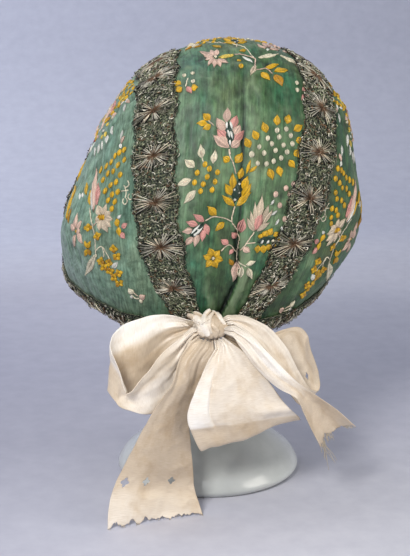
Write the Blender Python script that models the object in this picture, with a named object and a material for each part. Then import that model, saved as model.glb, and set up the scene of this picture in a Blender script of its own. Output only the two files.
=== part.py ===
"""Embroidered cap on a hat stand.

A small three-piece cap of embroidered silk, with two bands of metal lace over
its seams, an edging of the same lace round its rim and a silk ribbon bow at
the nape. It sits on the rounded head of a plain white stand.

Frame: +Z up, with the origin on the table at the stand's axis. The wearer looks
toward +Y, so the nape and the bow are at -Y. Sizes are in millimetres, and the
meshes are made in metres.
"""

import math
from collections import namedtuple

import bmesh
import bpy
import numpy as np

MM = 0.001

# Cap: arcs of cloth that run from jaw corner to jaw corner over the head. Each
# arc lies in a plane through both corners, turned about them from the neck edge
# round the crown to the face edge. An arc angle of 0 points at the nape, 90 up.
JAW_HALF = 101.0
JAW_Y = 62.0
JAW_Z = 145.0
LEAN = math.radians(6.9)
LEAN_FROM = 166.0
CLOTH = 2.0

Arc = namedtuple("Arc", "angle reach bulge square seam_x")
ARCS = [
    Arc(-7, 136.5, 0.0, 1.04, 19.0),
    Arc(14, 151.0, 13.0, 0.91, 43.0),
    Arc(34, 174.0, 22.0, 0.83, 56.0),
    Arc(54, 200.5, 18.5, 0.84, 59.0),
    Arc(74, 192.5, 13.0, 0.85, 54.0),
    Arc(94, 172.5, 6.0, 0.92, 53.0),
]
ARC_NECK = ARCS[0].angle
ARC_FACE = ARCS[-1].angle

# How much further out than its arc a side panel lies, at named heights. A minus
# is flatter. It fades in between two turns on each side of the seam.
Swell = namedtuple("Swell", "height left right")
SWELLS = [
    Swell(130, -3.0, -4.5),
    Swell(148, -0.8, -2.0),
    Swell(174, 1.5, 3.0),
    Swell(198, 4.0, 1.5),
    Swell(222, -0.5, -1.0),
    Swell(244, -3.2, -2.2),
    Swell(270, -2.5, -0.5),
    Swell(290, -3.5, 2.5),
    Swell(312, 0.0, 0.0),
]
SWELL_FROM = 0.5
SWELL_FULL = 0.85

# Folds where the middle panel is drawn in above the nape. Place and width are
# shares of the way from the middle line to the lace, and a minus depth is a valley.
Fold = namedtuple("Fold", "place width depth")
FOLDS = [
    Fold(-0.02, 0.28, -6.0),
    Fold(0.40, 0.15, 3.0),
    Fold(-0.60, 0.15, 2.5),
    Fold(0.75, 0.12, -2.0),
]
FOLD_START = 0.06
FOLD_FULL = 0.15
FOLD_END = 0.42
FOLD_CALM = 0.75

SEAM_GAP = 0.3
MIDDLE_CELLS = 20
SIDE_CELLS = 9
ARC_CELLS = 26

# Metal lace: a band over each seam, scalloped round its star rosettes, and a
# narrower edging round the whole rim.
LACE_LIFT = 0.5
EDGING_LIFT = 0.9
LACE_THICK = 1.2
BAND_HALF = 14.5
BAND_HALF_NAPE = 9.0
BAND_TAPER_END = 0.2
SCALLOP = 2.5
STAR_PITCH = 36.0
FIRST_STAR = 33.0
EDGING = 10.5
LACE_GAP = 0.6
BAND_CELLS = 42
EDGING_NECK_CELLS = 34
EDGING_FACE_CELLS = 40

# Stand: one turned piece, a domed foot with a flat underside, a stem and a
# rounded head that carries the crown.
STAND_SIDES = 32
FOOT_PROFILE = [
    (66.0, 0.0), (70.0, 4.0), (67.0, 12.0), (57.0, 22.0), (45.0, 32.5),
    (32.0, 41.0), (20.0, 51.0), (12.5, 66.0), (9.0, 88.0),
]
STEM_RADIUS = 9.0
HEAD_RADIUS = 58.0
HEAD_RISE = 52.0
HEAD_EDGE = 4.0
HEAD_STEPS = 7
SEAT_GAP = 0.5

# Bow: a knot at the nape and five lengths of ribbon. Each ribbon is ruled
# between two edges that are set at a few named stations along it. Folds are
# pleats along the ribbon, and sag is how far its middle bows out of plane.
RIBBON_THICK = 1.0
KNOT_CENTRE = (-9.0, -86.6, 137.0)
KNOT_HALF = (13.0, 8.0, 11.0)
KNOT_CLEAR = 1.1
KNOT_SEAT = 0.55
KNOT_RIDGES = 5
KNOT_RIDGE_DEPTH = 0.03
ALONG_CELLS = 24
ACROSS_CELLS = 6

Station = namedtuple("Station", "place upper lower folds sag")
LOOP_LEFT = [
    Station("knot back", (-23, -84, 144), (-22, -83, 132), 1.2, 0),
    Station("shoulder", (-41, -79, 147), (-41, -83, 112), 1.6, 0),
    Station("run", (-59, -79, 145), (-60, -86, 94), 1.0, 3),
    Station("top corner", (-74, -84, 140), (-75, -90, 89), 0.4, 2),
    Station("turn", (-82, -96, 132), (-84, -98, 99), 0.3, 0),
    Station("turn end", (-79, -107, 121), (-80, -107, 93), 0.6, 3),
    Station("dip", (-72, -112, 99), (-70, -106, 85), 1.0, 6),
    Station("belly", (-57, -107, 112), (-57, -103, 81), 1.6, 3),
    Station("rise", (-46, -100, 124), (-42, -96, 86), 2.0, 0),
    Station("gather", (-34, -95, 133), (-30, -93, 109), 1.8, 0),
    Station("knot front", (-23, -92, 141), (-22, -92, 131), 1.2, 0),
]
TAIL_LEFT = [
    Station("knot", (-21, -95, 128), (-12, -97, 125), 1.0, 0),
    Station("gather", (-30, -102, 119), (-18, -102, 117), 1.8, 0),
    Station("fan", (-39, -106, 107), (-23, -103, 104), 2.2, 0),
    Station("turn", (-47, -106, 93), (-28, -101, 90), 2.0, 1),
    Station("middle", (-56, -105, 79), (-29, -97, 73), 1.5, 2),
    Station("belly", (-65, -104, 61), (-25, -95, 53), 1.0, 3),
    Station("calf", (-74, -104, 43), (-23, -93, 31), 0.6, 2),
    Station("holes", (-82, -106, 27), (-22, -92, 18), 0.5, 1),
    Station("hem", (-86, -110, 12), (-19, -93, 7), 0.4, 1),
    Station("floor", (-87, -112, 0), (-17, -94, 0), 0.4, 1),
]
LOOP_CENTRE = [
    Station("knot front", (-7, -97.5, 127), (3, -96, 130), 1.0, 0),
    Station("fan", (-13, -101, 119), (11, -98, 124), 1.2, 0),
    Station("face", (-18, -104, 110), (20, -99, 115), 0.8, 1),
    Station("belly", (-25, -107, 95), (30, -100, 101), 0.4, 2),
    Station("low face", (-29, -108, 80), (41, -99, 85), 0.2, 2),
    Station("front edge", (-26, -106, 68), (53, -97, 72), 0.0, 0),
    Station("under edge", (-18, -98, 51), (54, -92, 68), 0.0, 0),
    Station("back", (-14, -90, 62), (44, -87, 80), 0.4, 0),
    Station("back rise", (-10, -88, 92), (28, -85, 102), 0.8, 0),
    Station("back fan", (-8, -87, 115), (11, -85, 117), 0.8, 0),
    Station("knot back", (-6, -88, 124), (3, -87, 125), 0.6, 0),
]
LOOP_RIGHT = [
    Station("knot front", (1, -90, 148), (6, -91, 141), 0.8, 0),
    Station("shoulder", (12, -88, 147), (13, -91, 134), 1.4, 0),
    Station("run", (24, -86, 142), (24, -91, 122), 1.8, 0),
    Station("slope", (36, -84, 133), (32, -91, 110), 1.8, 0),
    Station("low slope", (46, -84, 119), (41, -91, 98), 1.6, 0),
    Station("low", (54, -84, 104), (48, -90, 87), 1.2, 0),
    Station("turn", (66, -80, 86), (57, -84, 76), 0.8, 0),
    Station("turn end", (74, -68, 81), (60, -74, 73), 0.6, 0),
    Station("rear low", (75, -57, 90), (53, -70, 84), 0.6, 2),
    Station("rear", (71, -53, 105), (48, -70, 101), 0.8, 2),
    Station("rear top", (63, -52, 119), (43, -70, 114), 0.8, 0),
    Station("under rim", (48, -60, 123), (33, -74, 112), 0.8, 0),
    Station("return", (26, -74, 124), (19, -78, 112), 0.8, 0),
    Station("knot back", (6, -83, 132), (4, -83, 126), 0.6, 0),
]
TAIL_RIGHT = [
    Station("knot", (5, -96, 142), (5, -97, 134), 1.0, 0),
    Station("run", (15, -103, 137), (11, -103, 125), 1.6, 0),
    Station("slope", (27, -108, 126), (22, -108, 111), 1.8, 0),
    Station("low slope", (40, -110, 112), (35, -110, 99), 1.6, 0),
    Station("pinch", (52, -109, 100), (49, -109, 90), 1.0, 2),
    Station("flare", (67, -105, 88), (55, -106, 78), 0.8, 5),
    Station("hem", (82, -102, 76), (62, -103, 63), 0.6, 9),
    Station("end", (95, -99, 63), (69, -100, 49), 0.4, 11),
]
RIBBONS = {
    "bow_loop_left": (LOOP_LEFT, 3),
    "bow_tail_left": (TAIL_LEFT, 3),
    "bow_loop_centre": (LOOP_CENTRE, 2),
    "bow_loop_right": (LOOP_RIGHT, 2),
    "bow_tail_right": (TAIL_RIGHT, 2),
}

# Colours are linear RGB, with the roughness and metallic value beside them.
SILK_GREEN = ((0.035, 0.16, 0.11, 1), 0.55, 0.0)
LACE_METAL = ((0.17, 0.14, 0.10, 1), 0.45, 0.8)
RIBBON_IVORY = ((0.78, 0.68, 0.53, 1), 0.5, 0.0)
STAND_WHITE = ((0.78, 0.81, 0.82, 1), 0.2, 0.0)


def start_empty():
    for item in list(bpy.data.objects):
        bpy.data.objects.remove(item, do_unlink=True)


def material(name, look):
    colour, roughness, metallic = look
    made = bpy.data.materials.new(name)
    made.use_nodes = True
    shader = made.node_tree.nodes["Principled BSDF"]
    shader.inputs["Base Color"].default_value = colour
    shader.inputs["Roughness"].default_value = roughness
    shader.inputs["Metallic"].default_value = metallic
    return made


# Cap surface

def smooth_curve(knots, values, at):
    """Values or points at the knots, read off a smooth curve at other places."""
    knots = np.array(knots, float)
    values = np.array(values, float)
    slopes = np.gradient(values, knots, axis=0)
    at = np.asarray(at, float)
    low = np.clip(np.searchsorted(knots, at) - 1, 0, len(knots) - 2)
    for_each = low.shape + (1,) * (values.ndim - 1)
    span = (knots[low + 1] - knots[low]).reshape(for_each)
    t = (at - knots[low]).reshape(for_each) / span
    return (
        (2 * t**3 - 3 * t**2 + 1) * values[low]
        + (t**3 - 2 * t**2 + t) * span * slopes[low]
        + (3 * t**2 - 2 * t**3) * values[low + 1]
        + (t**3 - t**2) * span * slopes[low + 1]
    )


def along_arcs(column, angle):
    """One column of ARCS, drawn as a smooth curve through its rows."""
    return smooth_curve([row.angle for row in ARCS], [getattr(row, column) for row in ARCS], angle)


def arc_angle(v):
    """The arc's angle in degrees, for v from 0 at the neck to 1 at the face."""
    return ARC_NECK + (ARC_FACE - ARC_NECK) * np.asarray(v, float)


def seam_turn(v):
    """The turn, along an arc from its middle, at which the seam crosses it."""
    angle = arc_angle(v)
    bulge = along_arcs("bulge", angle)
    seam_x = along_arcs("seam_x", angle)
    turn = np.arcsin(seam_x / JAW_HALF)
    for _ in range(8):
        error = JAW_HALF * np.sin(turn) + bulge * np.sin(2 * turn) - seam_x
        turn = turn - error / (JAW_HALF * np.cos(turn) + 2 * bulge * np.cos(2 * turn))
    return turn


def turn_at(u, v):
    """The turn for u, which is 0 in the middle, 1 at a seam and 2 at a jaw corner."""
    seam = seam_turn(v)
    size = np.abs(u)
    inside = size * seam
    outside = seam + (size - 1) * (math.pi / 2 - seam)
    return np.sign(u) * np.where(size <= 1, inside, outside)


def smooth_step(low, high, value):
    t = np.clip((value - low) / (high - low), 0, 1)
    return t * t * (3 - 2 * t)


def fold_height(turn, v):
    seam = seam_turn(v)
    lace = (band_half(v) + SCALLOP) / turn_speed(seam, v)
    share = turn / np.maximum(seam - lace, 0.05)
    height = sum(f.depth * np.exp(-(((share - f.place) / f.width) ** 2)) for f in FOLDS)
    rise = smooth_step(FOLD_START, FOLD_FULL, v) * (1 - smooth_step(FOLD_FULL, FOLD_END, v))
    inside = 1 - smooth_step(FOLD_CALM, 1, np.abs(share))
    return height * rise * inside


def side_swell(turn, height):
    """The side panels' fullness, towards the side that they are on."""
    heights = [row.height for row in SWELLS]
    level = np.clip(height, heights[0], heights[-1])
    left = -smooth_curve(heights, [row.left for row in SWELLS], level)
    right = smooth_curve(heights, [row.right for row in SWELLS], level)
    return np.where(turn < 0, left, right) * smooth_step(SWELL_FROM, SWELL_FULL, np.abs(turn))


def bare_point(turn, v):
    angle = arc_angle(v)
    radians = np.radians(angle)
    across = JAW_HALF * np.sin(turn) + along_arcs("bulge", angle) * np.sin(2 * turn)
    squareness = along_arcs("square", angle)
    reach = along_arcs("reach", angle) * np.maximum(np.cos(turn), 1e-9) ** squareness
    y = JAW_Y - reach * np.cos(radians)
    z = JAW_Z + reach * np.sin(radians)
    x = across + math.tan(LEAN) * (z - LEAN_FROM) + side_swell(turn, z)
    return np.stack([x, y, z], axis=-1)


def turn_speed(turn, v):
    """Millimetres of cloth for each radian of turn."""
    step = 0.01
    ahead = bare_point(turn + step, v) - bare_point(turn - step, v)
    return np.linalg.norm(ahead, axis=-1) / (2 * step)


def band_half(v):
    """Half the lace band's width between its scallops."""
    taper = smooth_step(0, BAND_TAPER_END, v)
    return BAND_HALF_NAPE + (BAND_HALF - BAND_HALF_NAPE) * taper


def cap_normal(turn, v):
    step = 0.01
    limit = math.pi / 2 - 2 * step
    near = np.clip(turn, -limit, limit)
    along_turn = bare_point(near + step, v) - bare_point(near - step, v)
    along_v = bare_point(near, v + step) - bare_point(near, v - step)
    normal = np.cross(along_turn, along_v)
    normal /= np.linalg.norm(normal, axis=-1, keepdims=True)
    at_corner = np.abs(turn) > math.pi / 2 - 1e-6
    sideways = np.stack([np.sign(turn), 0 * turn, 0 * turn], axis=-1)
    return np.where(at_corner[..., None], sideways, normal)


def cap_point(turn, v, height=0.0):
    """A point of the cap, raised by height along the outward normal."""
    turn, v = np.broadcast_arrays(np.asarray(turn, float), np.asarray(v, float))
    lift = height + fold_height(turn, v)
    return bare_point(turn, v) + cap_normal(turn, v) * lift[..., None]


def reach_of(turn, v):
    """Distance from the line through the jaw corners."""
    point = bare_point(turn, v)
    return np.hypot(point[..., 1] - JAW_Y, point[..., 2] - JAW_Z)


def v_from_edge(turn, v, distance):
    """How far in v a distance in from the neck or face edge reaches."""
    return distance / (reach_of(turn, v) * math.radians(ARC_FACE - ARC_NECK))


# Solids

def finish(name, mesh_builder, look, sharp_degrees=40):
    bmesh.ops.remove_doubles(mesh_builder, verts=mesh_builder.verts, dist=1e-6)
    bmesh.ops.recalc_face_normals(mesh_builder, faces=mesh_builder.faces)
    bmesh.ops.triangulate(mesh_builder, faces=mesh_builder.faces)
    mesh = bpy.data.meshes.new(name)
    mesh_builder.to_mesh(mesh)
    mesh_builder.free()
    mesh.shade_smooth()
    mesh.set_sharp_from_angle(angle=math.radians(sharp_degrees))
    mesh.materials.append(material(name, look))
    made = bpy.data.objects.new(name, mesh)
    bpy.context.scene.collection.objects.link(made)
    return made


def wall(name, front, back, look, ring=False):
    """A thin closed wall between two grids of points, in millimetres.

    With ring set, the first axis of the grids closes on itself.
    """
    builder = bmesh.new()
    rows, columns = front.shape[:2]
    sides = []
    for grid in (front, back):
        sides.append([[builder.verts.new(point * MM) for point in row] for row in grid])
    last = rows if ring else rows - 1
    for i in range(last):
        j = (i + 1) % rows
        for k in range(columns - 1):
            for grid in sides:
                builder.faces.new((grid[i][k], grid[j][k], grid[j][k + 1], grid[i][k + 1]))
        for k in (0, columns - 1):
            builder.faces.new((sides[0][i][k], sides[0][j][k], sides[1][j][k], sides[1][i][k]))
    if not ring:
        for i in (0, rows - 1):
            for k in range(columns - 1):
                ends = (sides[0][i][k], sides[0][i][k + 1], sides[1][i][k + 1], sides[1][i][k])
                builder.faces.new(ends)
    return finish(name, builder, look)


def panel(name, u_from, u_to, cells):
    """One panel of the cap between two values of u, short of the seam gap."""
    v = np.linspace(0, 1, ARC_CELLS + 1)[:, None]
    u = np.linspace(u_from, u_to, cells + 1)[None, :]
    turn = turn_at(u, v)
    at_seam = np.abs(np.abs(u) - 1) < 1e-9
    inward = np.where(np.abs(u_from + u_to) > 2, -1, 1) * np.sign(u)
    turn = turn - at_seam * inward * SEAM_GAP / 2 / JAW_HALF
    return wall(name, cap_point(turn, v), cap_point(turn, v, -CLOTH), SILK_GREEN)


def cap_panels():
    panel("centre_panel", -1, 1, MIDDLE_CELLS)
    panel("side_panel_left", -1, -2, SIDE_CELLS)
    panel("side_panel_right", 1, 2, SIDE_CELLS)


def scalloped_half(v, length):
    """Half the band's width, scalloped out at each star rosette."""
    wave = np.cos((length - FIRST_STAR) / STAR_PITCH * 2 * math.pi)
    return band_half(v) + SCALLOP * smooth_step(0, BAND_TAPER_END, v) * wave


def lace_band(name, side):
    """A strip over a seam that ends where the edging begins."""
    share = np.linspace(0, 1, BAND_CELLS + 1)
    seam = seam_turn(share)
    centre = bare_point(seam, share)
    steps = np.linalg.norm(np.diff(centre, axis=0), axis=1)
    length = np.concatenate([[0], np.cumsum(steps)])
    half_turn = scalloped_half(share, length) / turn_speed(seam, share)
    turn = seam[:, None] + half_turn[:, None] * np.linspace(-1, 1, 4)[None, :]
    start = v_from_edge(turn, 0 * turn, EDGING + LACE_GAP)
    end = v_from_edge(turn, 0 * turn + 1, EDGING + LACE_GAP)
    v = start + (1 - end - start) * share[:, None]
    back = cap_point(side * turn, v, LACE_LIFT)
    front = cap_point(side * turn, v, LACE_LIFT + LACE_THICK)
    wall(name, front, back, LACE_METAL)


def corner_turn():
    """The turn near a jaw corner at which the edging's inner line meets itself."""
    turns = np.linspace(0.5, math.pi / 2, 400)
    inner_v = v_from_edge(turns, 0 * turns + 0.5, EDGING)
    return turns[np.argmax(inner_v >= 0.5)]


def lace_edge():
    """A closed strip round the rim: neck edge, jaw corner, face edge, jaw corner."""
    corner = corner_turn()
    across = np.array([0.0, 0.5, 1.0])
    sections = []
    for edge, cells, way in ((0, EDGING_NECK_CELLS, 1), (1, EDGING_FACE_CELLS, -1)):
        for turn in np.linspace(-corner, corner, cells + 1)[::way]:
            inner = min(float(v_from_edge(turn, edge, EDGING)), 0.5)
            v = abs(edge - across * inner)
            sections.append((0 * across + turn, v))
        end = way * math.pi / 2
        sections.append((end + (way * corner - end) * across, 0 * across + 0.5))
    turn = np.array([section[0] for section in sections])
    v = np.array([section[1] for section in sections])
    back = cap_point(turn, v, EDGING_LIFT)
    front = cap_point(turn, v, EDGING_LIFT + LACE_THICK)
    wall("lace_edge", front, back, LACE_METAL, ring=True)


# Bow

def grid_normal(grid):
    along = np.gradient(grid, axis=0)
    across = np.gradient(grid, axis=1)
    normal = np.cross(along, across)
    return normal / np.linalg.norm(normal, axis=-1, keepdims=True)


def onto_knot(grid, knot_rows):
    """Seats the rows that end at the knot on it, and keeps the others out of it."""
    centre = np.array(KNOT_CENTRE)
    away = grid - centre
    half = np.array(KNOT_HALF) + KNOT_CLEAR
    size = np.linalg.norm(away / half, axis=-1, keepdims=True)
    clear = centre + away / np.minimum(size, 1)
    seat = np.array(KNOT_HALF) + KNOT_SEAT
    reach = np.linalg.norm(away / seat, axis=-1, keepdims=True)
    for row in knot_rows:
        clear[row] = centre + away[row] / reach[row]
    return clear


def ribbon_sheet(stations, pleats):
    upper = np.array([s.upper for s in stations], float)
    lower = np.array([s.lower for s in stations], float)
    middle = (upper + lower) / 2
    chords = np.linalg.norm(np.diff(middle, axis=0), axis=1)
    knots = np.concatenate([[0], np.cumsum(chords)])
    at = np.linspace(0, knots[-1], ALONG_CELLS + 1)
    across = np.linspace(0, 1, ACROSS_CELLS + 1)[None, :, None]
    top = smooth_curve(knots, upper, at)[:, None, :]
    bottom = smooth_curve(knots, lower, at)[:, None, :]
    folds = smooth_curve(knots, [s.folds for s in stations], at)[:, None]
    sag = smooth_curve(knots, [s.sag for s in stations], at)[:, None]
    grid = top + (bottom - top) * across
    waves = np.cos(2 * math.pi * pleats * across[..., 0]) * folds
    bow = np.sin(math.pi * across[..., 0]) * sag
    knot_rows = [i for i, s in ((0, stations[0]), (-1, stations[-1])) if "knot" in s.place]
    return onto_knot(grid + grid_normal(grid) * (waves + bow)[..., None], knot_rows)


def ribbon(name, stations, pleats):
    sheet = ribbon_sheet(stations, pleats)
    offset = grid_normal(sheet) * RIBBON_THICK / 2
    front = sheet + offset
    back = sheet - offset
    for side in (front, back):
        side[..., 2] = np.maximum(side[..., 2], 0)
    wall(name, front, back, RIBBON_IVORY)


def bow_knot():
    builder = bmesh.new()
    bmesh.ops.create_uvsphere(builder, u_segments=20, v_segments=11, radius=1)
    for vertex in builder.verts:
        x, y, z = vertex.co
        round_it = math.atan2(z, x) * KNOT_RIDGES + 2 * y
        scale = 1 - KNOT_RIDGE_DEPTH * (0.5 - 0.5 * math.cos(round_it)) * (1 - abs(z))
        place = [c + h * p * scale for c, h, p in zip(KNOT_CENTRE, KNOT_HALF, (x, y, z))]
        vertex.co = [value * MM for value in place]
    return finish("bow_knot", builder, RIBBON_IVORY)


# Stand

def head_height(radius):
    """Height of the head's dome below its top, at a distance from its axis."""
    return HEAD_RISE * (1 - np.sqrt(np.maximum(1 - (radius / HEAD_RADIUS) ** 2, 0)))


def head_top():
    """The height at which the head just clears the cloth inside the crown."""
    v = np.linspace(0, 1, 4 * ARC_CELLS)[:, None]
    u = np.linspace(-1.3, 1.3, 4 * MIDDLE_CELLS)[None, :]
    inside = cap_point(turn_at(u, v), v, -CLOTH)
    radius = np.hypot(inside[..., 0], inside[..., 1])
    over = radius < HEAD_RADIUS
    room = inside[..., 2] + head_height(radius)
    return float(room[over].min()) - SEAT_GAP


def stand_profile():
    top = head_top()
    rim = top - HEAD_RISE
    profile = list(FOOT_PROFILE)
    profile.append((STEM_RADIUS, rim - HEAD_EDGE))
    profile.append((HEAD_RADIUS - HEAD_EDGE, rim - HEAD_EDGE))
    for step in range(HEAD_STEPS):
        angle = math.pi / 2 * step / HEAD_STEPS
        profile.append((HEAD_RADIUS * math.cos(angle), rim + HEAD_RISE * math.sin(angle)))
    return profile, top


def hat_stand():
    profile, top = stand_profile()
    builder = bmesh.new()
    rings = []
    for radius, height in profile:
        ring = []
        for side in range(STAND_SIDES):
            angle = 2 * math.pi * side / STAND_SIDES
            place = (radius * math.cos(angle), radius * math.sin(angle), height)
            ring.append(builder.verts.new([value * MM for value in place]))
        rings.append(ring)
    for low, high in zip(rings, rings[1:]):
        for side in range(STAND_SIDES):
            after = (side + 1) % STAND_SIDES
            builder.faces.new((low[side], low[after], high[after], high[side]))
    builder.faces.new(rings[0][::-1])
    crown = builder.verts.new((0, 0, top * MM))
    for side in range(STAND_SIDES):
        builder.faces.new((rings[-1][side], rings[-1][(side + 1) % STAND_SIDES], crown))
    return finish("hat_stand", builder, STAND_WHITE)


def main():
    start_empty()
    cap_panels()
    lace_band("lace_band_left", -1)
    lace_band("lace_band_right", 1)
    lace_edge()
    bow_knot()
    for name, (stations, pleats) in RIBBONS.items():
        ribbon(name, stations, pleats)
    hat_stand()


main()
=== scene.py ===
"""Looks of the embroidered cap on its hat stand.

Sizes are in millimetres in the same frame as the solids: +Z up, origin on the
table at the stand's axis, the nape and the bow at -Y. Meshes are made in metres.
"""

import math
import random
from collections import namedtuple

import bmesh
import bpy
import numpy as np
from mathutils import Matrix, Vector, noise
from mathutils.bvhtree import BVHTree


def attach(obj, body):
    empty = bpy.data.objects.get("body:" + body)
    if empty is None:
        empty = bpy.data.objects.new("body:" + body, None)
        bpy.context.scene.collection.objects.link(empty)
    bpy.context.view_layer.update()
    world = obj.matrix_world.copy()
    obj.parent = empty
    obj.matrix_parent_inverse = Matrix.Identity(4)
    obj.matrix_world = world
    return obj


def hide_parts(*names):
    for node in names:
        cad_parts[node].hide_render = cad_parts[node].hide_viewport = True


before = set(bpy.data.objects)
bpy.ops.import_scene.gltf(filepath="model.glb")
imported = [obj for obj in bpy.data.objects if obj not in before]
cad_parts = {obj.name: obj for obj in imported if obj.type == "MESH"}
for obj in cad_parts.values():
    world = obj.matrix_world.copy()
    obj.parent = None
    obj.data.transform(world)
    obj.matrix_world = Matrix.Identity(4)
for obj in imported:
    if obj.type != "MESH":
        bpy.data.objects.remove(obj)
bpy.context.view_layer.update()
scene = bpy.context.scene
MM = 0.001
TINY = 1e-12

# The photograph's frame and the camera that took it, measured on the object.
PHOTO_WIDTH = 410
PHOTO_HEIGHT = 556
CAMERA_YAW = math.radians(7.4)
CAMERA_TILT = math.radians(14.6)
CAMERA_AWAY = 1150.0
CAMERA_TARGET = np.array([-2.3, 0.0, 152.0])
FOCAL_PIXELS = 1511.0
SENSOR = 36.0

# Cap: the same arcs as the solids.
JAW_HALF = 101.0
JAW_Y = 62.0
JAW_Z = 145.0
LEAN = math.radians(6.9)
LEAN_FROM = 166.0
CLOTH = 2.0
Arc = namedtuple("Arc", "angle reach bulge square seam_x")
ARCS = [
    Arc(-7, 136.5, 0.0, 1.04, 19.0),
    Arc(14, 151.0, 13.0, 0.91, 43.0),
    Arc(34, 174.0, 22.0, 0.83, 56.0),
    Arc(54, 200.5, 18.5, 0.84, 59.0),
    Arc(74, 192.5, 13.0, 0.85, 54.0),
    Arc(94, 172.5, 6.0, 0.92, 53.0),
]
ARC_NECK = ARCS[0].angle
ARC_FACE = ARCS[-1].angle

Swell = namedtuple("Swell", "height left right")
SWELLS = [
    Swell(130, -3.0, -4.5),
    Swell(148, -0.8, -2.0),
    Swell(174, 1.5, 3.0),
    Swell(198, 4.0, 1.5),
    Swell(222, -0.5, -1.0),
    Swell(244, -3.2, -2.2),
    Swell(270, -2.5, -0.5),
    Swell(290, -3.5, 2.5),
    Swell(312, 0.0, 0.0),
]
SWELL_FROM = 0.5
SWELL_FULL = 0.85
Fold = namedtuple("Fold", "place width depth")
FOLDS = [
    Fold(-0.02, 0.28, -6.0),
    Fold(0.40, 0.15, 3.0),
    Fold(-0.60, 0.15, 2.5),
    Fold(0.75, 0.12, -2.0),
]
FOLD_START = 0.06
FOLD_FULL = 0.15
FOLD_END = 0.42
FOLD_CALM = 0.75
BAND_HALF = 14.5
BAND_HALF_NAPE = 9.0
BAND_TAPER_END = 0.2
SCALLOP = 2.5
STAR_PITCH = 36.0
FIRST_STAR = 33.0
EDGING = 10.5


# Small tools

def ride(piece):
    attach(piece, "root")
    return piece


def linked(name, data):
    """An object of the scene for a mesh, a camera or a light."""
    made = bpy.data.objects.new(name, data)
    scene.collection.objects.link(made)
    return made


def array_mesh(name, vertices, faces, look, flat=None, map_name="cloth"):
    """A smooth mesh from points in mm and arrays of faces, with one UV map."""
    corners = np.concatenate([face.ravel() for face in faces])
    totals = np.concatenate([np.full(len(face), face.shape[1]) for face in faces])
    mesh = bpy.data.meshes.new(name)
    mesh.vertices.add(len(vertices))
    mesh.vertices.foreach_set("co", (np.asarray(vertices) * MM).ravel())
    mesh.loops.add(corners.size)
    mesh.loops.foreach_set("vertex_index", corners)
    mesh.polygons.add(len(totals))
    mesh.polygons.foreach_set("loop_start", np.cumsum(totals) - totals)
    mesh.polygons.foreach_set("loop_total", totals)
    mesh.update(calc_edges=True)
    if flat is not None:
        layer = mesh.uv_layers.new(name=map_name)
        layer.data.foreach_set("uv", np.asarray(flat)[corners].ravel())
    mesh.materials.append(look)
    mesh.shade_smooth()
    return linked(name, mesh)


def quad_mesh(name, vertices, quads, look, flat=None):
    return array_mesh(name, vertices, [np.asarray(quads).reshape(-1, 4)], look, flat)


def tube_quads(rings, around):
    """The cells of a tube whose points are numbered ring by ring."""
    index = np.arange(rings * around).reshape(rings, around)
    after = np.roll(index, -1, axis=1)
    return np.stack([index[:-1], after[:-1], after[1:], index[1:]], axis=-1)


def outward(made, fill=False):
    """Turns a mesh's faces outwards, once its open ends are closed if fill says so."""
    builder = bmesh.new()
    builder.from_mesh(made.data)
    if fill:
        bmesh.ops.holes_fill(builder, edges=[edge for edge in builder.edges if edge.is_boundary])
    bmesh.ops.recalc_face_normals(builder, faces=builder.faces)
    builder.to_mesh(made.data)
    builder.free()
    return made


def unit(vectors):
    """Vectors brought to length one."""
    return vectors / (np.linalg.norm(vectors, axis=-1, keepdims=True) + TINY)


def lengths_along(points):
    """How far each point lies along the line through them all."""
    steps = np.linalg.norm(np.diff(points, axis=0), axis=1)
    return np.concatenate([[0], np.cumsum(steps)])


def smooth_step(low, high, value):
    t = np.clip((value - low) / (high - low), 0, 1)
    return t * t * (3 - 2 * t)


def field(points, scale, seed, detail=2):
    """Smooth noise from about -1 to 1 at each point, by features of scale mm."""
    flat = np.asarray(points).reshape(-1, 3) / scale + seed
    values = [noise.fractal(Vector(p), 0.6, 2.0, detail) for p in flat]
    return np.array(values).reshape(np.asarray(points).shape[:-1])


# Camera

def camera_axes():
    flat = math.cos(CAMERA_TILT)
    back = np.array([
        -math.sin(CAMERA_YAW) * flat, -math.cos(CAMERA_YAW) * flat, math.sin(CAMERA_TILT)
    ])
    right = np.array([math.cos(CAMERA_YAW), -math.sin(CAMERA_YAW), 0.0])
    up = np.cross(right, -back)
    return back, right, up, CAMERA_TARGET + CAMERA_AWAY * back


def make_camera():
    back, _, _, place = camera_axes()
    data = bpy.data.cameras.new("photo_camera")
    data.sensor_width = SENSOR
    data.lens = FOCAL_PIXELS / max(PHOTO_WIDTH, PHOTO_HEIGHT) * SENSOR
    data.clip_end = 20
    camera = linked("photo_camera", data)
    camera.location = place * MM
    camera.rotation_mode = "QUATERNION"
    camera.rotation_quaternion = Vector(-back).to_track_quat("-Z", "Y")
    scene.camera = camera


def pixel_ray(pixel):
    """Start and direction, in mm, of the view through a pixel of the photograph."""
    back, right, up, place = camera_axes()
    across = (pixel[0] - PHOTO_WIDTH / 2) / FOCAL_PIXELS
    down = (pixel[1] - PHOTO_HEIGHT / 2) / FOCAL_PIXELS
    way = -back + right * across - up * down
    return place, way / np.linalg.norm(way)


# Cap surface

# Slopes are measured over this step of turn or of v to each side.
PROBE = 0.01
SEAM_ROUNDS = 8


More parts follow.
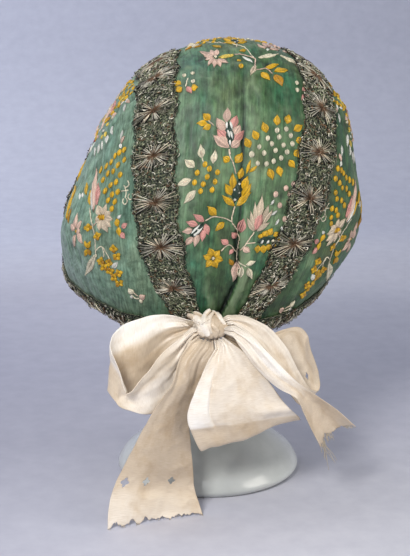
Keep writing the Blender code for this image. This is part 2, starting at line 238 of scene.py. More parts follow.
def smooth_curve(knots, values, at):
    """Values or points at the knots, read off a smooth curve at other places."""
    knots = np.array(knots, float)
    values = np.array(values, float)
    slopes = np.gradient(values, knots, axis=0)
    at = np.asarray(at, float)
    low = np.clip(np.searchsorted(knots, at) - 1, 0, len(knots) - 2)
    for_each = low.shape + (1,) * (values.ndim - 1)
    span = (knots[low + 1] - knots[low]).reshape(for_each)
    t = (at - knots[low]).reshape(for_each) / span
    return (
        (2 * t**3 - 3 * t**2 + 1) * values[low]
        + (t**3 - 2 * t**2 + t) * span * slopes[low]
        + (3 * t**2 - 2 * t**3) * values[low + 1]
        + (t**3 - t**2) * span * slopes[low + 1]
    )


def along_arcs(column, angle):
    """One column of ARCS, drawn as a smooth curve through its rows."""
    return smooth_curve([row.angle for row in ARCS], [getattr(row, column) for row in ARCS], angle)


def arc_angle(v):
    return ARC_NECK + (ARC_FACE - ARC_NECK) * np.asarray(v, float)


def seam_turn(v):
    angle = arc_angle(v)
    bulge = along_arcs("bulge", angle)
    seam_x = along_arcs("seam_x", angle)
    turn = np.arcsin(seam_x / JAW_HALF)
    for _ in range(SEAM_ROUNDS):
        error = JAW_HALF * np.sin(turn) + bulge * np.sin(2 * turn) - seam_x
        turn = turn - error / (JAW_HALF * np.cos(turn) + 2 * bulge * np.cos(2 * turn))
    return turn


def turn_at(u, v):
    seam = seam_turn(v)
    size = np.abs(u)
    inside = size * seam
    outside = seam + (size - 1) * (math.pi / 2 - seam)
    return np.sign(u) * np.where(size <= 1, inside, outside)


def side_swell(turn, height):
    """The side panels' fullness, towards the side that they are on."""
    heights = [row.height for row in SWELLS]
    level = np.clip(height, heights[0], heights[-1])
    left = -smooth_curve(heights, [row.left for row in SWELLS], level)
    right = smooth_curve(heights, [row.right for row in SWELLS], level)
    return np.where(turn < 0, left, right) * smooth_step(SWELL_FROM, SWELL_FULL, np.abs(turn))


def bare_point(turn, v):
    angle = arc_angle(v)
    radians = np.radians(angle)
    across = JAW_HALF * np.sin(turn) + along_arcs("bulge", angle) * np.sin(2 * turn)
    squareness = along_arcs("square", angle)
    reach = along_arcs("reach", angle) * np.maximum(np.cos(turn), 1e-9) ** squareness
    y = JAW_Y - reach * np.cos(radians)
    z = JAW_Z + reach * np.sin(radians)
    x = across + math.tan(LEAN) * (z - LEAN_FROM) + side_swell(turn, z)
    return np.stack([x, y, z], axis=-1)


def turn_speed(turn, v):
    """Millimetres across the cap for each unit of turn."""
    ahead = bare_point(turn + PROBE, v) - bare_point(turn - PROBE, v)
    return np.linalg.norm(ahead, axis=-1) / (2 * PROBE)


def band_half(v):
    taper = smooth_step(0, BAND_TAPER_END, v)
    return BAND_HALF_NAPE + (BAND_HALF - BAND_HALF_NAPE) * taper


def fold_height(turn, v):
    seam = seam_turn(v)
    lace = (band_half(v) + SCALLOP) / turn_speed(seam, v)
    share = turn / np.maximum(seam - lace, 0.05)
    height = sum(f.depth * np.exp(-(((share - f.place) / f.width) ** 2)) for f in FOLDS)
    rise = smooth_step(FOLD_START, FOLD_FULL, v) * (1 - smooth_step(FOLD_FULL, FOLD_END, v))
    inside = 1 - smooth_step(FOLD_CALM, 1, np.abs(share))
    return height * rise * inside


def cap_normal(turn, v):
    """The outward normal of the bare cap."""
    limit = math.pi / 2 - 2 * PROBE
    near = np.clip(turn, -limit, limit)
    along_turn = bare_point(near + PROBE, v) - bare_point(near - PROBE, v)
    along_v = bare_point(near, v + PROBE) - bare_point(near, v - PROBE)
    normal = unit(np.cross(along_turn, along_v))
    at_corner = np.abs(turn) > math.pi / 2 - 1e-6
    sideways = np.stack([np.sign(turn), 0 * turn, 0 * turn], axis=-1)
    return np.where(at_corner[..., None], sideways, normal)


# Materials

def new_material(name, roughness=0.5, metallic=0.0):
    made = bpy.data.materials.new(name)
    made.use_nodes = True
    tree = made.node_tree
    shader = tree.nodes["Principled BSDF"]
    shader.inputs["Roughness"].default_value = roughness
    shader.inputs["Metallic"].default_value = metallic
    return made, tree, shader


def srgb(red, green, blue):
    """A linear colour from the 0 to 255 values that a screen shows."""
    parts = [c / 255 for c in (red, green, blue)]
    linear = [c / 12.92 if c <= 0.04045 else ((c + 0.055) / 1.055) ** 2.4 for c in parts]
    return (*linear, 1.0)


def node(tree, kind, **settings):
    made = tree.nodes.new(kind)
    for key, value in settings.items():
        if key in made.inputs:
            made.inputs[key].default_value = value
        else:
            setattr(made, key, value)
    return made


def noise_node(tree, vector, scale, detail=3.0, roughness=0.55):
    made = node(tree, "ShaderNodeTexNoise", Scale=scale, Detail=detail, Roughness=roughness)
    tree.links.new(vector, made.inputs["Vector"])
    return made.outputs["Fac"]


def stretched(tree, vector, scale):
    made = node(tree, "ShaderNodeMapping")
    made.inputs["Scale"].default_value = scale
    tree.links.new(vector, made.inputs["Vector"])
    return made.outputs["Vector"]


def ramp(tree, factor, stops):
    made = node(tree, "ShaderNodeValToRGB")
    elements = made.color_ramp.elements
    while len(elements) < len(stops):
        elements.new(0.5)
    for element, (place, colour) in zip(elements, stops):
        element.position = place
        element.color = colour
    tree.links.new(factor, made.inputs["Fac"])
    return made.outputs["Color"]


def mix_colour(tree, factor, first, second, blend="MIX"):
    made = node(tree, "ShaderNodeMix", data_type="RGBA", blend_type=blend)
    inputs = {"Factor": made.inputs[0], "A": made.inputs[6], "B": made.inputs[7]}
    for key, value in (("Factor", factor), ("A", first), ("B", second)):
        if isinstance(value, bpy.types.NodeSocket):
            tree.links.new(value, inputs[key])
        else:
            inputs[key].default_value = value
    return made.outputs[2]


def bump(tree, height, shader, strength, distance):
    made = node(tree, "ShaderNodeBump", Strength=strength, Distance=distance)
    tree.links.new(height, made.inputs["Height"])
    tree.links.new(made.outputs["Normal"], shader.inputs["Normal"])
    return made


BLACK = (0, 0, 0, 1)
FULL = (1, 1, 1, 1)


def grey(value):
    return (value, value, value, 1)


def graded(tree, value, low, high, stops):
    """A colour ramp over a value's own range."""
    made = node(tree, "ShaderNodeMapRange")
    made.inputs["From Min"].default_value = low
    made.inputs["From Max"].default_value = high
    tree.links.new(value, made.inputs["Value"])
    return ramp(tree, made.outputs["Result"], stops)


def multiplied(tree, first, second, factor=1.0):
    return mix_colour(tree, factor, first, second, "MULTIPLY")


def uv_of(tree, name):
    return node(tree, "ShaderNodeUVMap", uv_map=name).outputs["UV"]


def axes_of(tree, vector):
    made = node(tree, "ShaderNodeSeparateXYZ")
    tree.links.new(vector, made.inputs["Vector"])
    return made.outputs


def stretched_noise(tree, vector, stretch, detail, roughness, scale=1.0):
    return noise_node(tree, stretched(tree, vector, stretch), scale, detail, roughness)


def silk_material():
    """Old green silk: fine ribs and faded patches, painted lighter towards the left side and darker olive
    towards the right, with painted shade near the nape and in the fold valleys and painted highlights on the
    fold ridges.
    """
    made, tree, shader = new_material("green_silk", 0.5)
    cloth = uv_of(tree, "cloth")
    place = axes_of(tree, cloth)
    fold = node(tree, "ShaderNodeAttribute", attribute_name="fold").outputs["Fac"]
    patches = stretched_noise(tree, cloth, (22, 13, 1), 5, 0.62)
    cool = stretched_noise(tree, cloth, (34, 9, 1), 4, 0.6, 1.7)
    olive = stretched_noise(tree, cloth, (15, 11, 1), 3, 0.5, 2.3)
    crumpled = stretched_noise(tree, cloth, (230, 120, 1), 5, 0.7)
    streaks = stretched_noise(tree, cloth, (900, 60, 1), 4, 0.65)
    ribs = stretched_noise(tree, cloth, (1300, 90, 1), 3, 0.6)
    weave = stretched_noise(tree, cloth, (1500, 3400, 1), 2, 0.5)
    base = ramp(tree, patches, [
        (0.34, srgb(52, 80, 38)), (0.45, srgb(76, 110, 66)), (0.55, srgb(106, 138, 96)),
        (0.66, srgb(156, 180, 138)),
    ])
    # Random cool and olive tints; then painted light, lighter towards the left side, and a darker olive
    # towards the right.
    tints_and_side_light = [
        (ramp(tree, cool, [(0.46, BLACK), (0.66, grey(0.8))]), srgb(36, 118, 88)),
        (ramp(tree, olive, [(0.50, BLACK), (0.68, grey(0.75))]), srgb(98, 102, 58)),
        (graded(tree, place["X"], -0.09, -0.01, [(0, grey(0.7)), (1, BLACK)]), srgb(172, 202, 184)),
        (graded(tree, place["X"], 0.04, 0.09, [(0, BLACK), (1, grey(0.35))]), srgb(84, 116, 60)),
    ]
    for mask, tint in tints_and_side_light:
        base = mix_colour(tree, mask, base, tint)
    crumpled = ramp(tree, crumpled, [(0.36, srgb(158, 168, 160)), (0.6, FULL)])
    base = multiplied(tree, base, crumpled, 0.9)
    # Painted shade: darker near the nape, under the bow.
    nape = graded(tree, place["Y"], 0.0, 0.055, [(0, srgb(176, 186, 168)), (1, FULL)])
    base = multiplied(tree, base, nape)
    worn = ramp(tree, streaks, [(0.34, srgb(150, 158, 146)), (0.62, FULL)])
    base = multiplied(tree, base, worn, 0.8)
    # Painted highlight on the fold ridges and painted shade in the fold valleys.
    ridge = graded(tree, fold, 0.2, 1.3, [(0, BLACK), (1, grey(0.3))])
    base = mix_colour(tree, ridge, base, srgb(158, 176, 138))
    valley = graded(tree, fold, -1.8, -0.1, [(0, srgb(44, 92, 72)), (1, FULL)])
    tree.links.new(multiplied(tree, base, valley), shader.inputs["Base Color"])
    bump(tree, mix_colour(tree, 0.4, ribs, weave), shader, 0.55, 0.0007)
    shine = ramp(tree, patches, [(0.35, grey(0.42)), (0.65, grey(0.6))])
    tree.links.new(shine, shader.inputs["Roughness"])
    shader.inputs["Sheen Weight"].default_value = 0.12
    shader.inputs["Sheen Roughness"].default_value = 0.35
    return made


def stand_material():
    """Glossy white, with a painted dark reflection across the middle of the foot and painted light towards
    its right side.
    """
    made, tree, shader = new_material("white_gloss", 0.24)
    place = node(tree, "ShaderNodeTexCoord").outputs["Object"]
    dust = noise_node(tree, place, 38.0, 5, 0.6)
    colour = ramp(tree, dust, [(0.3, srgb(206, 210, 205)), (0.7, srgb(222, 225, 221))])
    # Painted dark reflection across the middle of the foot, and painted light towards its right.
    side = graded(tree, axes_of(tree, place)["X"], -0.07, 0.07, [
        (0.0, srgb(226, 226, 226)), (0.35, srgb(222, 222, 222)), (0.55, srgb(206, 206, 207)),
        (0.75, srgb(220, 220, 220)), (1.0, FULL),
    ])
    tree.links.new(multiplied(tree, colour, side), shader.inputs["Base Color"])
    bump(tree, noise_node(tree, place, 24.0, 2, 0.5), shader, 0.05, 0.002)
    shader.inputs["Coat Weight"].default_value = 0.5
    shader.inputs["Coat Roughness"].default_value = 0.08
    return made


def floor_material():
    """Pale paper, warmer on the table than on the backdrop, with painted light and shade: the table lighter
    than the backdrop and darker towards its left, the backdrop lighter towards the left and a little darker
    higher up, and a band of painted shade across the table behind the stand.
    """
    made, tree, shader = new_material("pale_paper", 0.75)
    place = node(tree, "ShaderNodeTexCoord").outputs["Object"]
    parts = axes_of(tree, place)
    cloudy = noise_node(tree, place, 2.2, 4, 0.55)
    fine = noise_node(tree, place, 60.0, 3, 0.6)
    table = ramp(tree, cloudy, [(0.35, srgb(199, 199, 207)), (0.65, srgb(211, 211, 218))])
    # Painted shade: the table darker towards the left.
    side = graded(tree, parts["X"], -0.3, 0.1, [(0, srgb(226, 226, 234)), (1, FULL)])
    table = multiplied(tree, table, side)
    # Painted light and shade on the backdrop: lighter towards the left, darker towards the right and a
    # little darker higher up; it is also painted darker than the table.
    wall = graded(tree, parts["X"], -0.6, 0.8, [(0, srgb(206, 209, 224)), (1, srgb(184, 186, 198))])
    upper = graded(tree, parts["Z"], 0.02, 0.19, [(0, FULL), (1, srgb(238, 238, 240))])
    wall = multiplied(tree, wall, upper)
    rise = graded(tree, parts["Y"], 0.55, 0.8, [(0, BLACK), (1, FULL)])
    # Painted shade in a band across the table behind the stand.
    shade = graded(tree, parts["Y"], -0.2, 0.7, [
        (0.0, FULL), (0.17, srgb(250, 250, 251)), (0.30, srgb(228, 228, 232)),
        (0.5, srgb(222, 223, 230)), (0.75, srgb(238, 239, 244)), (1.0, FULL),
    ])
    speck = ramp(tree, fine, [(0.3, srgb(244, 244, 246)), (0.7, FULL)])
    colour = multiplied(tree, mix_colour(tree, rise, table, wall), shade)
    tree.links.new(multiplied(tree, colour, speck), shader.inputs["Base Color"])
    bump(tree, fine, shader, 0.1, 0.0008)
    return made


# Cloth relief: the folds and wrinkles of the silk, kept on a grid of turn and v

TURN_CELLS = 440
V_CELLS = 240
RELIEF_TOP = 3.0
Crease = namedtuple("Crease", "top bottom width depth soft_width soft_depth")
# Ends are pixels of the photograph, and the sizes are in mm.
CREASES = [
    Crease((243.0, 78.0), (243.5, 140.0), 1.1, 1.1, 6.0, 1.6),
    Crease((243.5, 138.0), (240.5, 208.0), 0.9, 0.9, 5.5, 1.8),
    Crease((176.0, 128.0), (172.5, 170.0), 1.6, 0.4, 4.0, -0.6),
    Crease((212.0, 168.0), (207.0, 250.0), 2.2, 0.3, 6.0, 0.5),
    Crease((268.0, 60.0), (270.0, 112.0), 2.0, 0.3, 6.0, 0.6),
    Crease((222.0, 60.0), (219.0, 106.0), 2.4, 0.3, 7.0, 0.7),
]
PLEAT_EDGE = [(239.5, 240.0), (238.5, 281.0), (232.0, 296.0), (222.0, 316.0)]
PLEAT_DEPTH = 5.0
PLEAT_REACH = 14.0
PLEAT_NEAR = 3.0
PLEAT_TOP = 0.13
FOLD_SHARE = 0.38
# Wrinkles: how the noise is stretched, its size in mm, its seed and its height in mm.
Wrinkle = namedtuple("Wrinkle", "stretch size seed height")
BROAD = Wrinkle((1.0, 1.0, 0.5), 30.0, 3.7, 1.3)
LONG = Wrinkle((1.0, 1.0, 0.35), 11.0, 11.3, 1.1)
SHORT = Wrinkle((1.0, 1.0, 0.8), 6.0, 31.7, 0.35)
PUCKERS = Wrinkle((0.6, 0.6, 1.9), 8.0, 23.1, 1.5)
UNDER_LACE = 13.0
BESIDE_LACE = 24.0
CREASE_FADE = 0.03
SPOT_ROUNDS = 12


def pixel_of(points):
    """Where a point in mm shows in the photograph."""
    back, right, up, place = camera_axes()
    away = np.asarray(points) - place
    depth = -(away @ back)
    across = PHOTO_WIDTH / 2 + FOCAL_PIXELS * (away @ right) / depth
    down = PHOTO_HEIGHT / 2 - FOCAL_PIXELS * (away @ up) / depth
    return np.stack([across, down], axis=-1)


def wrinkled(point, wrinkle):
    return ridged(point * np.array(wrinkle.stretch), wrinkle.size, wrinkle.seed) * wrinkle.height


def wrinkles(turn, v):
    """Small unevenness of the old silk, in mm, puckered beside the lace."""
    point = bare_point(turn, v)
    seam = seam_turn(v)
    away = (np.abs(turn) - seam) * turn_speed(seam, v)
    broad = field(point * np.array(BROAD.stretch), BROAD.size, BROAD.seed, 2) * BROAD.height
    fine = wrinkled(point, LONG) + wrinkled(point, SHORT)
    under_lace = np.exp(-((away / UNDER_LACE) ** 2))
    beside_lace = np.exp(-((away / BESIDE_LACE) ** 2)) - 0.9 * under_lace
    return (broad + fine) * (1 - 0.85 * under_lace) + wrinkled(point, PUCKERS) * beside_lace


def ridged(points, scale, seed):
    """Noise whose crests are sharp, from about -1 to 0.5."""
    return 0.5 - 1.5 * np.abs(field(points, scale, seed, 2))


def gathers(turn, v):
    """Fine pleats that the drawn-in nape sends up the middle panel."""
    share = turn / seam_turn(v)
    rise = smooth_step(0.0, 0.05, v) * (1 - smooth_step(0.08, 0.42, v))
    inside = 1 - smooth_step(0.5, 0.72, np.abs(share))
    waves = 0.18 * np.sin(share * 17.0 + 1.2 * np.sin(share * 5)) + 0.06 * np.sin(share * 41.0)
    return rise * inside * waves


def crease_relief(turn, v, top, bottom, width, depth, soft_width, soft_depth):
    ends = sorted([bare_spot(top), bare_spot(bottom)], key=lambda spot: spot[1])
    middle = np.interp(v, [e[1] for e in ends], [e[0] for e in ends])
    away = (turn - middle) * turn_speed(middle, v)
    start, end = ends[0][1], ends[1][1]
    length = smooth_step(start - CREASE_FADE, start + CREASE_FADE, v)
    length = length * (1 - smooth_step(end - CREASE_FADE, end + CREASE_FADE, v))
    sharp = depth * np.exp(-((away / width) ** 2))
    return -(sharp + soft_depth * np.exp(-((away / soft_width) ** 2))) * length


def pleat_relief(turn, v):
    """The overlapping pleat above the knot: a deep valley that ends at a crisp edge."""
    spots = sorted([bare_spot(pixel) for pixel in PLEAT_EDGE], key=lambda spot: spot[1])
    middle = np.interp(v, [s[1] for s in spots], [s[0] for s in spots])
    away = (turn - middle) * turn_speed(middle, v)
    hollow = 0.65 * np.exp(away / PLEAT_NEAR) + 0.35 * np.exp(away / PLEAT_REACH)
    valley = np.where(away < 0, hollow, 0.0)
    ridge = np.where(away >= 0, 0.2 * np.exp(-away / PLEAT_REACH), 0.0)
    lower = 1 - smooth_step(spots[-1][1], spots[-1][1] + PLEAT_TOP, v)
    return PLEAT_DEPTH * (ridge - valley) * lower


def bare_spot(pixel):
    """Turn and v of the bare cap under a pixel, found by Newton's method."""
    turn, v = 0.0, 0.4
    for _ in range(SPOT_ROUNDS):
        here = pixel_of(bare_point(turn, v))
        by_turn = (pixel_of(bare_point(turn + PROBE, v)) - here) / PROBE
        by_v = (pixel_of(bare_point(turn, v + PROBE)) - here) / PROBE
        change = np.linalg.solve(np.stack([by_turn, by_v], axis=1), np.array(pixel) - here)
        turn += float(np.clip(change[0], -0.2, 0.2))
        v = float(np.clip(v + np.clip(change[1], -0.1, 0.1), 0, 1))
    return turn, v


def relief_grid():
    turn = np.linspace(-math.pi / 2, math.pi / 2, TURN_CELLS + 1)[None, :]
    v = np.linspace(0, 1, V_CELLS + 1)[:, None]
    turn, v = np.broadcast_arrays(turn, v)
    relief = fold_height(turn, v) * FOLD_SHARE + gathers(turn, v) + wrinkles(turn, v) + pleat_relief(turn, v)
    for crease in CREASES:
        relief = relief + crease_relief(turn, v, *crease)
    return np.minimum(relief, RELIEF_TOP)


RELIEF = relief_grid()


def relief_at(turn, v):
    across = np.clip((turn / math.pi + 0.5) * TURN_CELLS, 0, TURN_CELLS - 1e-6)
    along = np.clip(v * V_CELLS, 0, V_CELLS - 1e-6)
    k = across.astype(int)
    i = along.astype(int)
    s = across - k
    t = along - i
    low = RELIEF[i, k] * (1 - s) + RELIEF[i, k + 1] * s
    high = RELIEF[i + 1, k] * (1 - s) + RELIEF[i + 1, k + 1] * s
    return low * (1 - t) + high * t


def cloth_point(turn, v, height=0.0):
    """A point of the creased silk, raised along the outward normal."""
    turn, v = np.broadcast_arrays(np.asarray(turn, float), np.asarray(v, float))
    lift = relief_at(turn, v) + height
    return bare_point(turn, v) + cap_normal(turn, v) * lift[..., None]


def cloth_normal(turn, v):
    """The outward normal of the creased silk itself."""
    step = 0.006
    limit = math.pi / 2 - 3 * step
    near = np.clip(turn, -limit, limit)
    inner = np.clip(v, step, 1 - step)
    along_turn = cloth_point(near + step, inner) - cloth_point(near - step, inner)
    along_v = cloth_point(near, inner + step) - cloth_point(near, inner - step)
    return unit(np.cross(along_turn, along_v))


def spot_finder():
    """A search tree of the outer cloth, with the turn and v of each of its corners."""
    turn = np.linspace(-math.pi / 2, math.pi / 2, 261)[None, :]
    v = np.linspace(0, 1, 161)[:, None]
    turn, v = np.broadcast_arrays(turn, v)
    points = cloth_point(turn, v).reshape(-1, 3)
    rows, columns = turn.shape
    corner = (np.arange(rows - 1)[:, None] * columns + np.arange(columns - 1)[None, :]).ravel()
    first = np.stack([corner, corner + 1, corner + columns + 1], axis=1)
    second = np.stack([corner, corner + columns + 1, corner + columns], axis=1)
    triangles = np.concatenate([first, second])
    tree = BVHTree.FromPolygons(points.tolist(), triangles.tolist(), all_triangles=True)
    return tree, points, triangles, np.stack([turn.ravel(), v.ravel()], axis=1)


FINDER = spot_finder()
CAP_MIDDLE_PIXEL = np.array([212.0, 190.0])
INWARD_TRIES = 30
INWARD_SHARE = 0.012


def spot(pixel):
    """Turn and v of the silk under a pixel, or under the nearest one that meets it."""
    tree, points, triangles, values = FINDER
    pixel = np.array(pixel, float)
    for _ in range(INWARD_TRIES):
        start, way = pixel_ray(pixel)
        place, _, index, _ = tree.ray_cast(Vector(start), Vector(way))
        if place is not None:
            break
        pixel = pixel + (CAP_MIDDLE_PIXEL - pixel) * INWARD_SHARE
    a, b, c = points[triangles[index]]
    basis = np.stack([b - a, c - a], axis=1)
    share = np.linalg.lstsq(basis, np.array(place) - a, rcond=None)[0]
    corners = values[triangles[index]]
    return corners[0] * (1 - share.sum()) + corners[1] * share[0] + corners[2] * share[1]


def spot_scale(at):
    """Millimetres for each unit of turn and of v at a spot."""
    turn, v = float(at[0]), float(np.clip(at[1], PROBE, 1 - PROBE))
    by_v = np.linalg.norm(bare_point(turn, v + PROBE) - bare_point(turn, v - PROBE)) / (2 * PROBE)
    return np.array([float(turn_speed(turn, v)), by_v])


# Stitches

STITCH_STEPS = 7
STITCH_WIDTH = 1.05
FIBRE_SHIFT = 3.37
STITCH_TAPER = np.array([0.35, 0.85, 1.0, 1.0, 1.0, 0.85, 0.35])
STITCH_RISE = np.array([-0.15, 0.75, 1.0, 1.0, 1.0, 0.75, -0.15])
STITCH_FORM = np.array([(-1.0, -0.15), (-0.62, 0.8), (0.62, 0.8), (1.0, -0.15)])
# Painted shade: each stitch darker at its edges, and each wire darker at its sides.
STITCH_SHADE = np.array([0.4, 1.0, 1.0, 0.4])
WIRE_FORM = np.array([(-1.0, -0.6), (0.0, 1.0), (1.0, -0.6)])
WIRE_SHADE = np.array([0.85, 1.0, 0.85])

YELLOW = (240, 190, 30)
GOLD = (206, 150, 24)
LEMON = (246, 218, 96)
CREAM = (250, 240, 208)
WHITE = (252, 252, 240)
BLUSH = (248, 212, 190)
PINK = (238, 170, 158)
ROSE = (214, 112, 118)
SAND = (240, 220, 190)
# Dark teal thread laid in a flower's eye as painted shade.
SHADE_TEAL = (34, 66, 52)

Petal = namedtuple("Petal", "base tip width thread")
Star = namedtuple("Star", "centre tips width petals heart")
# Rows that follow each other in one thread. A petal's row is its base pixel, its tip pixel and
# its width in mm, and a dot's row is its pixel and its size in mm.
Run = namedtuple("Run", "thread rows")
Stem = namedtuple("Stem", "points width thread")
Dot = namedtuple("Dot", "centre size thread")


class Stitches:
    """Stitches laid on the silk: their lines in turn and v, and their looks."""

    def __init__(self):
        self.lines = []
        self.widths = []
        self.heights = []
        self.colours = []

    def add(self, line, width, height, thread):
        self.lines.append(line)
        self.widths.append(np.broadcast_to(width, (STITCH_STEPS,)) * STITCH_TAPER)
        self.heights.append(height)
        self.colours.append(np.array(srgb(*thread)[:3]) * chance.uniform(0.66, 1.2))

    def copy(self, other, k, line):
        """Takes over stitch k of another set, along a line of its own."""
        self.lines.append(line)
        self.widths.append(other.widths[k])
        self.heights.append(other.heights[k])
        self.colours.append(other.colours[k])


chance = random.Random(1741)


def petal_outline(t, pointed=True):
    """Half width of a petal along it, widest a third of the way and sharp at the tip."""
    if not pointed:
        return np.sin(np.pi * t) ** 0.55
    widest = 0.4
    rising = np.clip(t / widest, 0, 1) ** 0.75
    falling = 1 - np.clip((t - widest) / (1 - widest), 0, 1) ** 1.6
    return np.where(t < widest, rising, falling)


def lay_petal(
    stitches, base, tip, width, thread, pointed=True, count=None, lift=0.0, longest=math.inf
):
    """Satin stitches side by side from the base to the tip, which they fill."""
    scale = spot_scale((base + tip) / 2)
    way = (tip - base) * scale
    length = max(np.linalg.norm(way), 0.5)
    way = way / length
    length = min(length, longest)
    side = np.array([-way[1], way[0]])
    count = count or max(2, round(width / STITCH_WIDTH))
    t = np.linspace(0, 1, STITCH_STEPS)
    outline = petal_outline(np.clip(t, 0.02, 0.985), pointed)
    for k in range(count):
        place = (k + 0.5) / count * 2 - 1
        off = place * width / 2 * (1 - 0.5 / count) * outline
        reach = 1 - 0.16 * place**2 * chance.uniform(0.4, 1.0) + chance.uniform(-0.05, 0.05)
        along = t * length * reach + 0.03 * length * place**2
        line = base + (along[:, None] * way + off[:, None] * side) / scale
        full = width * np.maximum(outline, 0.3) / count * 1.3 / 2
        height = lift + 0.6 + 0.8 * (1 - place**2) * min(1.0, width / 4)
        stitches.add(line, full, height, thread)


def lay_stem(stitches, points, width, thread, stitch=3.4):
    """A line of short overlapping stitches through the spots."""
    points = np.array(points)
    scale = spot_scale(points.mean(axis=0))
    steps = np.linalg.norm(np.diff(points * scale, axis=0), axis=1)
    knots = np.concatenate([[0], np.cumsum(np.maximum(steps, 1e-6))])
    total = knots[-1]
    count = max(1, round(total / (stitch * 0.7)))
    t = np.linspace(0, 1, STITCH_STEPS)
    for k in range(count):
        start = total * k / count - 0.15 * stitch
        at = np.clip(start + t * min(stitch, total * 1.1), 0, total)
        line = smooth_curve(knots, points, at) if len(points) > 2 else (
            points[0] + (points[1] - points[0]) * (at / total)[:, None]
        )
        slope = (t - 0.5) * 0.3 * width * (1 if k % 2 else -1)
        line = line + np.stack([slope / scale[0], 0 * t], axis=1)
        stitches.add(line, width / 2, 0.6, thread)


def lay_comb(stitches, base, tip, width, thread):
    """A leaf of slanted stitches on both sides of its middle line."""
    scale = spot_scale((base + tip) / 2)
    way = (tip - base) * scale
    length = np.linalg.norm(way)
    way = way / length
    side = np.array([-way[1], way[0]])
    count = max(5, round(length / 0.95))
    t = np.linspace(0, 1, STITCH_STEPS)
    for k in range(count):
        place = (k + 0.5) / count
        half = width / 2 * petal_outline(np.clip(place + 0.08, 0.03, 0.97))
        for hand in (-1, 1):
            across = hand * t * half
            along = length * (place * 0.86) + t * half * 0.9
            line = base + (along[:, None] * way + across[:, None] * side) / scale
            stitches.add(line, 0.5, 0.75, thread)


# Petals on a part of the silk that is turned away from the camera are no longer than this many
# times what they show, lines lie on top of petals and a flower's eye of dark painted shade lies under them.
TURNED_AWAY = 1.5
LINE_WIDTH = 2.2
LINE_LIFT = 1.0
EYE_LIFT = -0.3


def lay_design(stitches, design):
    """Lays the petals, stems and dots of a design drawn in pixels."""
    for piece in design:
        if isinstance(piece, Petal):
            shown = math.dist(piece.base, piece.tip) * PIXEL_MM
            lift = EYE_LIFT if piece.thread == SHADE_TEAL else (LINE_LIFT if piece.width < LINE_WIDTH else 0.0)
            lay_petal(
                stitches, spot(piece.base), spot(piece.tip), piece.width, piece.thread,
                lift=lift, longest=shown * TURNED_AWAY,
            )
        elif isinstance(piece, Stem):
            lay_stem(stitches, [spot(p) for p in piece.points], piece.width, piece.thread)
        else:
            middle = spot(piece.centre)
            half = np.array([0.0, piece.size / 2]) / spot_scale(middle)
            lay_petal(
                stitches, middle - half, middle + half, piece.size * 0.85, piece.thread,
                pointed=False, count=3,
            )


def lay_bud(stitches, base, tip, width, outer, inner):
    """An oval bud with a paler heart."""
    base, tip = spot(base), spot(tip)
    lay_petal(stitches, base, tip, width, outer)
    low, high = base * 0.8 + tip * 0.2, base * 0.35 + tip * 0.65
    lay_petal(stitches, low, high, width * 0.32, inner, count=2, lift=0.35)


def joined(points, form, shade, colours, name, look):
    """One mesh of many swept threads, each closed at both ends.

    points is (threads, steps, form points, 3) in mm, and colours is (threads, 3).
    """
    shape = threads, steps, around = points.shape[:3]
    thread, step, corner = np.meshgrid(
        np.arange(threads), np.arange(steps - 1), np.arange(around), indexing="ij"
    )
    after = (corner + 1) % around
    low = (thread * steps + step) * around
    high = low + around
    quads = np.stack([low + corner, low + after, high + after, high + corner], axis=-1).reshape(-1, 4)
    first = np.arange(threads)[:, None] * steps * around
    ring = np.arange(around)[None, :]
    ends = np.concatenate([first + ring[:, ::-1], first + (steps - 1) * around + ring])
    across = np.broadcast_to(np.arange(around) / around, shape)
    along = np.arange(steps)[None, :, None] + np.arange(threads)[:, None, None] * FIBRE_SHIFT
    flat = np.stack([across.ravel(), np.broadcast_to(along, shape).ravel()], axis=1)
    made = array_mesh(name, points.reshape(-1, 3), [quads, ends], look, flat, "fibre")
    tone = np.ones((*shape, 4))
    tone[..., :3] = colours[:, None, None, :] * shade[None, None, :, None]
    layer = made.data.color_attributes.new(name="thread", type="FLOAT_COLOR", domain="POINT")
    layer.data.foreach_set("color", tone.ravel())
    return made


def swept(centre, normal, width, height, form):
    """Threads swept along lines of points, from a form in shares of width and height."""
    tangent = unit(np.gradient(centre, axis=1))
    side = unit(np.cross(tangent, normal))
    up = np.cross(side, tangent)
    across = width[..., None, None] * form[None, None, :, 0, None] * side[:, :, None, :]
    rise = height[..., None, None] * form[None, None, :, 1, None] * up[:, :, None, :]
    return centre[:, :, None, :] + across + rise


def stitched(name, stitches, look):
    lines = np.array(stitches.lines)
    turn = np.clip(lines[..., 0], -math.pi / 2, math.pi / 2)
    v = np.clip(lines[..., 1], 0, 1)
    centre = cloth_point(turn, v, 0.05)
    normal = cloth_normal(turn, v)
    width = np.array(stitches.widths)
    height = np.array(stitches.heights)[:, None] * STITCH_RISE[None, :]
    points = swept(centre, normal, width, height, STITCH_FORM)
    made = joined(points, STITCH_FORM, STITCH_SHADE, np.array(stitches.colours), name, look)
    return ride(made)


# Cap panels

MIDDLE_CELLS = 116
SIDE_CELLS = 64
ARC_CELLS = 160
BLUR_CELLS = 9
# Cloth in mm for each unit of turn, and from the neck edge to the face edge.
FLAT_ACROSS = 95.0
FLAT_ALONG = 250.0


def cells_of(rows, columns):
    """The four corners of each cell of a grid whose points are numbered by row."""
    first = (np.arange(rows - 1)[:, None] * columns + np.arange(columns - 1)[None, :])
    return np.stack([first, first + columns, first + columns + 1, first + 1], axis=-1)


